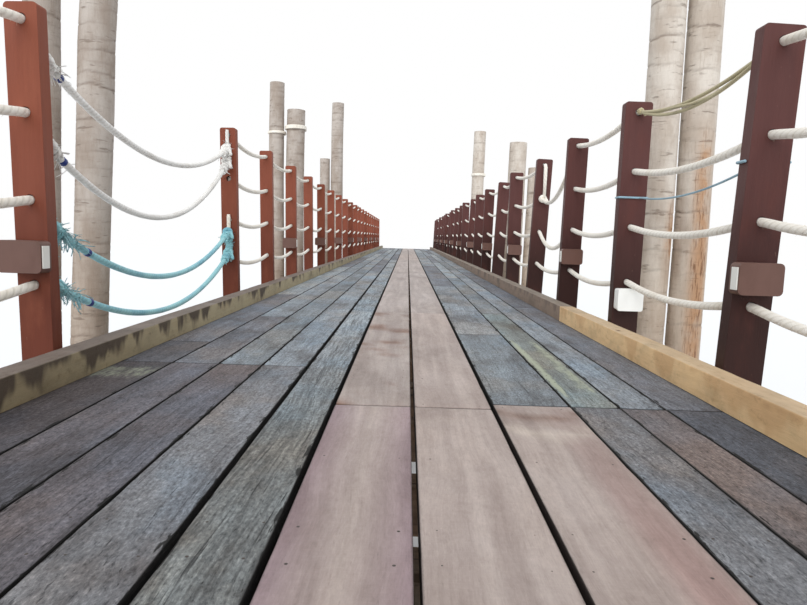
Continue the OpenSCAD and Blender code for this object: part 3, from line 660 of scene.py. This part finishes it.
palm_bark = palm_finish()
trunk_sharp_deg = 60
nearest_bent = 2
no_stain = (9.0, 9.0, 0.0)
rust_stains = {(2, 3): (1.2, 2.65, 4.9), (2, 2): (1.8, 2.3, 5.6)}
straight = ((0, 1), (0, 0))
curved = {
    (2, 0): ((0, 1.5, 3.4), (0, 0.004, -0.006)),
    (2, 1): ((0, 1.5, 2.9, 3.4, 3.8), (0, 0.02, 0.012, 0.032, 0.034)),
}
for bent in range(1, 8):
    name = f"piles_bent_{bent}"
    gathered = Assembly()
    step, sides = (0.008, 30) if bent == nearest_bent else (0.02, 22)
    for p, solid in enumerate(sorted(solids_of(name), key=lambda s: s[:, 0].mean())):
        ring_gap, dim = (0.045, 0.8) if p < 2 else (0.08, 0.0)
        corners, faces, groove, stain = palm_trunk(
            *trunk_ends(solid), step, sides, bent * 10 + p, ring_gap, curved.get((bent, p), straight),
            *rust_stains.get((bent, p), no_stain))
        gathered.join(corners, faces, groove=groove, stain=stain, dim=[dim] * len(corners),
                      shift=[random_shift()] * len(corners))
    trunks = gathered.made(f"palm_trunks_{bent}", palm_bark, trunk_sharp_deg)
    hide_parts(name)


# Each rail post is a hardwood board painted red-brown, rounded at its top, bored for four ropes and bolted to the
# cross bearer. The left ones are orange-brown and the right ones darker, partly their paint and partly painted light
# on the left and painted shade on the right. The right ones lean outwards.
def post_finish(name, tone, low_tone, worn_tone):
    paint = Finish(name, 0.5, 0.25)
    height = paint.axis(paint.place(), "Z")
    patch = paint.mottle((1, 1, 0.4), 7, 5, 0.6)
    chips = paint.mottle((1, 1, 0.5), 90, 4, 0.7)
    paint.bend(paint.times(paint.mottle((1, 1, 0.5), 2.2, 2), 0.05))
    broad = paint.mottle((1, 1, 0.05), 50, 4, 0.6)
    fine = paint.mottle((1, 1, 0.05), 330, 5, 0.65)
    paint.base(paint.ramp(height, deck_top + 0.75, deck_top + 0.15), tone, low_tone)
    paint.shades((broad, 0.35, 0.7, 0.3, (0.72, 0.66, 0.66)))
    paint.cover(paint.ramp(patch, 0.5, 0.75, 0, 0.45), worn_tone)
    paint.shades((fine, 0.4, 0.8, 0.2, (1.3, 1.26, 1.26)))
    paint.cover(paint.ramp(chips, 0.69, 0.73, 0, 0.35), (150, 118, 100))
    return paint.finished([(broad, 0.0008), (fine, 0.0006)], {"Roughness": paint.ramp(patch, 0.3, 0.7, 0.45, 0.65)})


post_edge_r, post_segments = 0.003, 3
# The left paint is lighter and the right darker, partly as painted light on the left side and painted shade on the
# right.
left_paint = post_finish("left_post_paint_and_light", (135, 72, 52), (104, 50, 33), (148, 86, 64))
right_paint = post_finish("right_post_paint_and_shade", (88, 52, 49), (50, 25, 21), (98, 55, 48))
soften("left_posts", left_paint, post_edge_r, post_segments)
soften("right_posts", right_paint, post_edge_r, post_segments)


# Bolts with six-sided heads on square washers hold the posts to the bearers and the crossheads to the trunks. They
# are galvanised steel that has gone dull, with rust where the zinc is worn.
zinc_tones = ((120, 118, 116), (108, 78, 58))
bolt_zinc = speckled_finish("dull_bolt_zinc", 0.45, 0.5, (60, 5), zinc_tones, 0.0008, 0.7)
washer = (0.021, 0.003, 4, math.pi / 4)
hexagon = (0.011, 0.011, 6, 0.0)


def bolt_head(bolts, x, y, z, way):
    """A square washer with a six-sided head on a face that looks along the jetty."""
    for half, depth, count, turn in (washer, hexagon):
        radius = half / math.cos(math.pi / count)
        corners = [(x + radius * share * c, y + way * out, z + radius * share * s)
                   for out, share in ((-0.001, 1.0), (depth - 0.001, 1.0), (depth, 0.9))
                   for c, s in circle(count, turn)]
        bolts.join(corners, ring_faces(3, count) + [[2 * count + s for s in range(count)]])


bolts = Assembly()
bolt_from_edge = 0.03
rail_posts = {"left": solids_of("left_posts"), "right": solids_of("right_posts")}
bearer_low, bearer_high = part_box("rail_bearers")
for posts in rail_posts.values():
    for solid in posts:
        foot_x = solid[solid[:, 2] < solid[:, 2].min() + 0.01][:, 0].mean()
        for z in (bearer_low.z + bolt_from_edge, bearer_high.z - bolt_from_edge):
            bolt_head(bolts, foot_x, solid[:, 1].min(), z, -1)
for name, way in (("crossheads_near", -1), ("crossheads_far", 1)):
    for bent, solid in enumerate(solids_of(name)):
        face_y = solid[:, 1].max() if way > 0 else solid[:, 1].min()
        mid_z = (solid[:, 2].min() + solid[:, 2].max()) / 2
        for trunk in solids_of(f"piles_bent_{bent + 1}"):
            foot, _, head, _ = trunk_ends(trunk)
            bolt_x = foot[0] + (head[0] - foot[0]) * (mid_z - foot[2]) / (head[2] - foot[2])
            bolt_head(bolts, bolt_x, face_y, mid_z, way)
bolts.made("frame_bolts", bolt_zinc, smooth=False)


# Four thick laid ropes a side run through the posts from end to end, with a stopper knot against the last post.
# They are cream, dirty in places and fluffy where they chafe, and hang a little in every panel.
rope_r = 0.0135
rope_heights = (0.26, 0.505, 0.75, 1.005)
rope_sag = 0.038
slack_sag = 0.115
drop_sag = 0.14
post_t = 0.05


def rope_finish(name, tone, dirt_tone, dirt_share, lay_m, strands=3, depth=0.001):
    fibre = Finish(name, 0.85, 0.2)
    lay = fibre.mark("lay", "Vector")
    around, along = fibre.axis(lay, "X"), fibre.axis(lay, "Y")
    twist = fibre.plus(fibre.times(around, strands), fibre.times(along, strands / lay_m))
    strand = fibre.ramp(fibre.reckon("SINE", fibre.times(twist, math.tau)), -1.0, -0.1)
    yarn_place = fibre.node("CombineXYZ", {"X": fibre.times(twist, 9.0), "Y": fibre.times(along, 16.0)}).outputs[0]
    yarn = fibre.noise_at(yarn_place, 1.0, 4, 0.7)
    fluff = fibre.mottle((1, 1, 1), 700, 3, 0.7)
    patch = fibre.mottle((1, 1, 1), 6, 5, 0.6)
    fibre.base(fibre.ramp(patch, 0.45, 0.72, 0, dirt_share), tone, dirt_tone)
    # Where the strands of the lay meet, the fibre is darkened as painted shade in the grooves.
    fibre.shades((yarn, 0.7, 0.3, 0.25, (0.74, 0.71, 0.66)),
                 (strand, 1.0, 0.0, 0.25, (0.62, 0.57, 0.5)))
    sheen = {"Sheen Weight": 0.25, "Sheen Roughness": 0.6}
    return fibre.finished([(strand, depth), (yarn, 0.001), (fluff, 0.0006)], sheen)


def smoothed(points, rounds):
    """A path with its corners eased, and its two ends held."""
    path = np.array(points, float)
    for _ in range(rounds):
        path[1:-1] = path[1:-1] * 0.5 + (path[:-2] + path[2:]) * 0.25
    return path


class RopeWork(Assembly):
    """Ropes of one kind. Their lay is how far round and how far along the rope each face corner is."""

    def __init__(self):
        super().__init__()
        self.lay = []

    def rope(self, path, radius, sides, seed, lumps=0.03):
        """A round rope along a path."""
        path = np.asarray(path, float)
        ahead = np.gradient(path, axis=0)
        ahead /= np.linalg.norm(ahead, axis=1)[:, None]
        across = np.cross(ahead[0], (1.0, 0.02, 0.03))
        if np.linalg.norm(across) < 0.2:
            across = np.cross(ahead[0], (0, 0, 1.0))
        across /= np.linalg.norm(across)
        run = np.concatenate([[0], np.cumsum(np.linalg.norm(np.diff(path, axis=0), axis=1))])
        corners, last, round_it = [], len(path) - 1, circle(sides)
        for i, at in enumerate(path):
            across = across - ahead[i] * np.dot(across, ahead[i])
            across /= np.linalg.norm(across)
            other = np.cross(ahead[i], across)
            r = radius * (1 + lumps * waver(run[i] * 14, seed, 0))
            if i in (0, last):
                r *= 0.8
            corners += [at + r * (c * across + s * other) for c, s in round_it]
        ends = [list(range(sides))[::-1], [last * sides + s for s in range(sides)]]
        self.join(corners, ring_faces(len(path), sides) + ends)
        self.lay += [(a / sides, run[b], seed) for i in range(last) for s in range(sides)
                     for a, b in ((s, i), (s + 1, i), (s + 1, i + 1), (s, i + 1))]
        self.lay += [(0.0, run[0], seed)] * sides + [(0.0, run[-1], seed)] * sides

    def stopper(self, at, way, turns, line_r, tail, seed, thin=0.95, sides=12):
        """A knot against a post: the line turns about itself and its end sticks out."""
        radius, steps_a_turn, uneven = line_r * 0.98, 14, 0.12
        points = [at, at + (0, way * radius, 0)]
        lift = 1.45 * radius
        for i in range(turns * steps_a_turn + 1):
            turn = math.tau * i / steps_a_turn
            grow = min(1, i / 5)
            wind = lift * i / steps_a_turn * (0.55 + 0.45 * math.sin(turn * 0.5) ** 2)
            points.append(at + (lift * grow * math.cos(turn) + uneven * radius * dice.uniform(-1, 1),
                                way * (radius * 1.05 + wind), lift * grow * math.sin(turn)))
        last = points[-1]
        for i in range(1, 5):
            points.append(last + np.array((tail * 0.1 * i, way * radius * 0.3 * i, -tail * i / 4)))
        self.rope(smoothed(points, 1), line_r * thin, sides, seed)

    def rigged(self, name, material, slot, *cad_names):
        """The ropes as one piece, with the CAD parts they stand for hidden. The slot is not used."""
        rope = self.made(name, material)
        layer = rope.data.attributes.new("lay", "FLOAT_VECTOR", "CORNER")
        layer.data.foreach_set("vector", np.asarray(self.lay, np.float32).ravel())
        if cad_names:
            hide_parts(*cad_names)


def post_point(solid, height):
    """The middle of a post at a height above the deck."""
    z = deck_top + height
    foot = solid[solid[:, 2] < solid[:, 2].min() + 0.01]
    head = solid[solid[:, 2] > solid[:, 2].max() - 0.02]
    foot_z, head_z = foot[:, 2].mean(), head[:, 2].mean()
    share = (z - foot_z) / (head_z - foot_z)
    return np.array([foot[:, 0].mean() * (1 - share) + head[:, 0].mean() * share,
                     (solid[:, 1].min() + solid[:, 1].max()) / 2, z])


def hanging(start, end, sag, count):
    """Points of a line that hangs between two points."""
    share = np.linspace(0, 1, count)[:, None]
    points = start + (end - start) * share
    points[:, 2] -= 4 * sag * (share * (1 - share))[:, 0]
    return points


laid_rope = rope_finish("cream_laid_rope", (252, 247, 237), (228, 217, 198), 0.6, 0.095)
spans = {side: [tuple(post_point(s, h) for h in rope_heights) for s in rail_posts[side]] for side in rail_posts}
longest_panel = 1.5
left_y = [post[0][1] for post in spans["left"]]
missing_after = next(i for i, y in enumerate(left_y) if left_y[i + 1] - y > longest_panel)
strand_panel, slack_panel = 3, 5
no_rope = {("left", r, missing_after) for r in range(4)}
no_rope |= {("right", 3, strand_panel), ("right", 3, slack_panel), ("right", 2, slack_panel)}
to_face = np.array([0, post_t / 2, 0])
knot_clear = np.array([0, 0.0013, 0])
past_post, cut_short = 1.04, 0.9
fine_reach, fine_points, coarse_points = 4.5, 36, 20
stopper_tail = 0.035
for side, posts in spans.items():
    for r in range(4):
        work = RopeWork()
        runs, run = [], [posts[0][r]]
        for k in range(len(posts) - 1):
            if (side, r, k) in no_rope:
                runs.append(run)
                run = [posts[k + 1][r]]
                continue
            sag = slack_sag if (side, r, k) == ("right", 1, slack_panel) else rope_sag
            sag *= 1 + 0.16 * waver(k * 3.7, r * 5.1, 2.0 if side == "left" else 8.0)
            count = fine_points if abs(posts[k][r][1] - eye.y) < fine_reach else coarse_points
            run += list(hanging(posts[k][r] + to_face, posts[k + 1][r] - to_face, sag, count))
            run.append(posts[k + 1][r])
        runs.append(run)
        for n, points in enumerate(runs):
            start_reach, end_reach = past_post - cut_short * (n > 0), past_post - cut_short * (n < len(runs) - 1)
            points = [points[0] - to_face * start_reach] + points[1:-1] + [points[-1] + to_face * end_reach]
            work.rope(smoothed(points, 2), rope_r, 14 if n == 0 else 12, r + n * 0.37)
        work.stopper(posts[0][r] - to_face, -1, 2, rope_r, stopper_tail, 5.5)
        work.stopper(posts[-1][r] + to_face, 1, 2, rope_r, stopper_tail, 6.5)
        if side == "right" and r == 3:
            low_knot = posts[slack_panel + 1][2] - to_face - knot_clear
            start = posts[slack_panel][3]
            low_end = low_knot - (0, 0.6 * 2 * rope_r, 0)
            work.rope(hanging(start + to_face * 0.9, low_end, drop_sag, 40), rope_r, 12, 9.5)
            work.stopper(low_knot, -1, 2, rope_r, 0.03, 7.5)
            out = posts[slack_panel + 1][3] - to_face
            drop = [out + (0, y, z) for y, z in ((0.004, 0), (-0.02, -0.003), (-0.036, -0.02), (-0.038, -0.08),
                                                 (-0.038, rope_heights[2] - rope_heights[3]))]
            work.rope(drop, rope_r, 12, 8.5)
        work.rigged(f"{side}_rail_rope_{r + 1}", laid_rope, "rail_rope", f"{side}_rope_{r + 1}")


# The ropes nearest the eye are fluffy where they chafe. The fluff is short loose fibres of the rope itself, most of
# them on its underside.
fluff_reach = 3.2
fluffy_share, bare_on_top = 0.34, 0.7
largest_face, fibre_half_w = 0.0006, 0.0004
fluff_fibre = speckled_finish("loose_rope_fibre", 0.9, 0.1, (30, 3), ((228, 220, 202), (196, 184, 158)), 0.0003)


def any_way():
    return Vector((dice.uniform(-1, 1), dice.uniform(-1, 1), dice.uniform(-1, 1))).normalized()


fluff = Assembly()
for name in [f"{side}_rail_rope_{r + 1}" for side in ("left", "right") for r in range(4)]:
    for face in bpy.data.objects[name].data.polygons:
        at = face.center
        if not -0.1 < at.y - eye.y < fluff_reach or face.area > largest_face or dice.random() > fluffy_share:
            continue
        if face.normal.z > 0.4 and dice.random() < bare_on_top:
            continue
        out = face.normal * dice.uniform(0.002, 0.006)
        tip = at + out + Vector((dice.uniform(-1, 1), dice.uniform(-1, 1), dice.uniform(-1.4, 0.5))) * 0.004
        wide = any_way() * fibre_half_w
        fluff.join([at - wide, at + wide, tip], [[0, 1, 2]])
rope_fluff = fluff.made("rope_fluff", fluff_fibre)


# Where the fifth left post is missing, two white lines and two turquoise ones are tied in from the fourth post to
# the sixth. They are thinner and hang deeper than the ropes, with bulky knots and loose ends.
line_r = 0.012
knot_thin = 0.92
# Of each line: its height at the fourth post and at the sixth, and its sag.
tied_lines = {
    "white_lines": [(0.935, 0.92, 0.195), (0.69, 0.845, 0.28)],
    "turquoise_lines": [(0.445, 0.43, 0.215), (0.265, 0.305, 0.21)],
}
# Of each end that lies down a post: which of the two posts, which way its face looks, and its top and foot.
tied_loops = {
    "white_lines": [(0, 1, 1.017, 0.935), (0, 1, 0.762, 0.69), (1, -1, 1.035, 0.845)],
    "turquoise_lines": [(0, 1, 0.517, 0.265), (1, -1, 0.535, 0.305)],
}


def moulded_finish(name, tone, roughness, grain_depth, dirt):
    plastic = Finish(name, roughness, 0.5)
    grain = plastic.mottle((1, 1, 1), 900, 2)
    patch = plastic.mottle((1, 1, 0.5), 14, 5, 0.6)
    plastic.tone = colour(*tone)
    plastic.shades((patch, 0.4, 0.75, dirt, (0.62, 0.58, 0.54)))
    dull = plastic.ramp(patch, 0.3, 0.7, roughness - 0.08, roughness + 0.12)
    return plastic.finished([(grain, grain_depth)], {"Roughness": dull})


def wrapping(work, low, high, coil_r, turns, radius, seed):
    """Turns of a line laid close round another."""
    steps_a_turn, bulge = 12, 0.2
    ahead = (high - low) / np.linalg.norm(high - low)
    side = np.cross(ahead, (0.3, 0.2, 0.9))
    side /= np.linalg.norm(side)
    other = np.cross(ahead, side)
    steps = int(turns * steps_a_turn)
    points = []
    for i in range(steps + 1):
        turn = math.tau * i / steps_a_turn
        out = coil_r * (1 + bulge * math.sin(i * 0.37 + seed))
        points.append(low + (high - low) * (i / steps) + out * (math.cos(turn) * side + math.sin(turn) * other))
    work.rope(smoothed(points, 1), radius, 9, seed, 0.12)


def frays(work, at, count, reach):
    """Loose ends that stand off a knot and curl down."""
    fray_r, from_middle = 0.0014, 0.009
    for _ in range(count):
        way = np.array(any_way())
        curl = np.array([dice.uniform(-0.9, 0.9), dice.uniform(-0.9, 0.9), dice.uniform(-1.3, 0.2)])
        length = reach * dice.uniform(0.3, 1)
        points = [at + way * from_middle + (way * t + curl * t * t) * length for t in (0, 0.25, 0.5, 0.75, 1)]
        work.rope(points, fray_r * dice.uniform(0.5, 1.3), 4, dice.random(), 0.1)


white_fibre = rope_finish("white_line_fibre", (252, 251, 248), (208, 200, 190), 0.5, 0.06)
turquoise_fibre = rope_finish("turquoise_line_fibre", (156, 216, 224), (84, 160, 190), 0.75, 0.07, 3, 0.0014)
pale_tufts = rope_finish("pale_turquoise_tuft", (176, 222, 230), (88, 168, 198), 0.9, 0.07)
tape_blue = moulded_finish("dark_blue_tape", (38, 58, 128), 0.45, 0.0003, 0.3)
tied_posts = [rail_posts["left"][missing_after], rail_posts["left"][missing_after + 1]]
clear_of_post = to_face + knot_clear
from_knot = np.array([0, 0.014, 0])
line_points = 90
tape, cut_ends = RopeWork(), RopeWork()
for name, fibre, slot in (("white_lines", white_fibre, "white_line"),
                          ("turquoise_lines", turquoise_fibre, "turquoise_line")):
    work, tufted = RopeWork(), RopeWork()
    white = name == "white_lines"
    near_reach, far_reach = 0.026 if white else 0.032, 0.026
    for r, (from_h, to_h, sag) in enumerate(tied_lines[name]):
        start, end = post_point(tied_posts[0], from_h) + clear_of_post, post_point(tied_posts[1], to_h) - clear_of_post
        run = hanging(start + from_knot, end - from_knot, sag, line_points)
        work.rope(run, line_r, 14, r + 0.5, 0.05)
        work.stopper(start, 1, 2, line_r, 0.03, r + 2.5, knot_thin)
        work.stopper(end, -1, 3, line_r, 0.04, r + 4.5, knot_thin)
        wrapping(work, run[0], run[4], line_r * 1.5, 5, line_r * 0.55, r + 1.1)
        wrapping(work, run[-6], run[-1], line_r * 1.5, 6, line_r * 0.6, r + 2.2)
        for n, count, reach in ((2, 30, near_reach), (4, 40 if white else 110, near_reach),
                                (7, 8 if white else 40, near_reach), (85, 14, far_reach), (88, 30, far_reach)):
            frays(tufted, run[n], count, reach)
        taped = 5 if white else 11
        tape.rope(np.linspace(run[taped], run[taped + 1], 6), line_r * 1.16, 12, 0.5, 0)
    for r, (end, face, top_h, foot_h) in enumerate(tied_loops[name]):
        off = face * (clear_of_post + (0, 0.9 * line_r, 0))
        top, foot = post_point(tied_posts[end], top_h) + off, post_point(tied_posts[end], foot_h) + off
        if end and not white:
            cut_ends.rope(hanging(top, top + (foot - top) * 0.4, 0, 8), line_r * 0.95, 12, 3.5)
            top = top + (foot - top) * 0.38
        work.rope(hanging(top, foot, 0, 12), line_r * 0.9, 12, r + 6.5)
        low_half = foot + (top - foot) * (0.55 if end else 0.3)
        wrapping(work, foot, low_half, line_r * 1.35, 7, line_r * 0.65, r + 3.3)
        for share in (0.1, 0.3, 0.5):
            frays(tufted, foot + (low_half - foot) * share * 2, 26, 0.022)
    work.rigged(name[:-1] + "_pair", fibre, slot, name)
    tufted.rigged(name[:-1] + "_tufts", white_fibre if white else pale_tufts, slot)
cut_ends.rigged("cut_rope_stub", laid_rope, "rail_rope")
tape.rigged("line_tape", tape_blue, "turquoise_line")


# In one panel on the right the top rope has gone, and thin yellowish strands take its place. A pale blue line runs
# lower down in the same panel, hooked round the facing side of the post at each end.
strand_r = 0.0065
strand_sags = (0.05, 0.076)
strand_from_knot = np.array([0, 0.008, 0])
strand_fibre = rope_finish("yellowish_strand", (196, 186, 148), (150, 138, 100), 0.7, 0.035, 3, 0.0008)
work = RopeWork()
start = spans["right"][strand_panel][3] + clear_of_post
end = spans["right"][strand_panel + 1][3] - clear_of_post
for i, sag in enumerate(strand_sags):
    work.rope(hanging(start + strand_from_knot, end - strand_from_knot, sag, 60), strand_r, 10, i + 0.5, 0.08)
wrap_r, wrap_turn, wrap_points = 0.009, 9, 120
wrapped = hanging(start + strand_from_knot, end - strand_from_knot, strand_sags[0] + 0.013, wrap_points)
share = np.linspace(0, 1, wrap_points)
wrapped[:, 0] += wrap_r * np.sin(share * wrap_turn) * np.sin(share * math.pi)
wrapped[:, 2] += wrap_r * np.cos(share * wrap_turn) * np.sin(share * math.pi)
work.rope(wrapped, strand_r * 0.9, 10, 4.5, 0.08)
work.stopper(start, 1, 3, strand_r, 0.02, 2.5, sides=10)
work.stopper(end, -1, 3, strand_r, 0.02, 3.5, sides=10)
work.rigged("yellowish_strands", strand_fibre, "thin_strand", "top_strands")

blue_r = 0.0045
blue_off = 0.0048
blue_heights = (0.675, 0.635)
post_half_w = 0.059
blue_fibre = rope_finish("pale_blue_line_fibre", (158, 194, 212), (120, 150, 168), 0.5, 0.03, 4, 0.0006)
work = RopeWork()
ends = [post_point(rail_posts["right"][strand_panel + n], height) for n, height in enumerate(blue_heights)]
half_w, half_t = post_half_w + blue_off, post_t / 2 + blue_off
for way, middle in ((1, ends[0]), (-1, ends[1])):
    hook = [middle + (sx * half_w, way * sy * half_t, 0) for sx, sy in ((1, -0.6), (1, 1), (-1, 1), (-1, -0.6))]
    dense = [a + (b - a) * share for a, b in zip(hook[:-1], hook[1:]) for share in np.linspace(0.02, 0.98, 12)]
    work.rope(smoothed(dense, 1), blue_r, 10, way + 1.5, 0.02)
blue_start = ends[0] + (0, post_t / 2 + blue_off, 0)
blue_end = ends[1] + (0.029, -post_t / 2 - blue_off, 0)
work.rope(hanging(blue_start, blue_end, rope_sag, 50), blue_r * 0.85, 10, 7.5, 0.02)
work.rigged("pale_blue_line", blue_fibre, "pale_blue_line", "blue_line")


# Old cream rope, thinner than the rail's, is wound two or three times round trunks near their heads and binds them
# in pairs.
lash_r = 0.01
steps_a_turn = 40
work = RopeWork()
for n, solid in enumerate(solids_of("pile_lashings")):
    middle = (solid.min(0) + solid.max(0)) / 2
    span = solid.max(0) - solid.min(0)
    turn_r = span[1] / 2 - lash_r
    turns = max(1, round((span[2] - 2 * lash_r) / (0.85 * 2 * lash_r))) + 1
    points = []
    for i in range(turns * steps_a_turn + 1):
        angle = math.tau * i / steps_a_turn
        points.append(middle + (turn_r * math.cos(angle), turn_r * math.sin(angle),
                                (i / (turns * steps_a_turn) - 0.5) * (span[2] - 2 * lash_r)))
    work.rope(points, lash_r, 10, n + 0.5, 0.04)
work.rigged("trunk_lashings", laid_rope, "rail_rope", "pile_lashings")


# Every second post carries a closed light box of brown moulded plastic on a back plate, with a white lens towards
# the walkway. One right post has a white junction box with a push-on lid.
soften("light_boxes", moulded_finish("brown_moulded_plastic", (104, 72, 62), 0.42, 0.0002, 0.45), 0.004, 3)
soften("light_lenses", moulded_finish("white_lens_plastic", (238, 238, 232), 0.3, 0.0001, 0.2), 0.002, 2)
soften("junction_box", moulded_finish("white_box_plastic", (246, 247, 244), 0.4, 0.0001, 0.12), 0.003, 3)


# The stage is a plain pale floor at the level of the pile feet, under an even white sky with one broad soft lamp.
# The camera sees the sky as white, and the light from it is slightly grey.
floor_half = 60
floor_corners = [(x * floor_half, y * floor_half, 0) for x, y in ((-1, -1), (1, -1), (1, 1), (-1, 1))]
floor_mesh = bpy.data.meshes.new("pale_floor")
floor_mesh.from_pydata(floor_corners, [], [(0, 1, 2, 3)])
floor_paint = Finish("pale_floor_paint", 0.9, 0.0)
floor_paint.shader.inputs["Base Color"].default_value = (0.88, 0.885, 0.89, 1)
floor_mesh.materials.append(floor_paint.material)
pale_floor = placed("pale_floor", floor_mesh)

even_sky = bpy.data.worlds.new("even_sky")
bpy.context.scene.world = even_sky
sky = Nodes(even_sky)
rays = sky.node("LightPath", {}).outputs
seen = sky.reckon("MAXIMUM", rays["Is Camera Ray"], rays["Is Transmission Ray"])
seen = sky.reckon("MAXIMUM", seen, rays["Is Glossy Ray"])
sky.fill(sky.tree.nodes["Background"],
         {"Color": sky.mixed(seen, (0.83, 0.85, 0.87, 1), (1, 1, 1, 1)), "Strength": 1.0})

lamp_data = bpy.data.lights.new("broad_lamp", "SUN")
lamp_data.energy = 1.8
lamp_data.angle = math.radians(60)
placed("broad_lamp", lamp_data).rotation_euler = (math.radians(57), math.radians(-15), 0)
bpy.context.scene.view_settings.view_transform = "Standard"
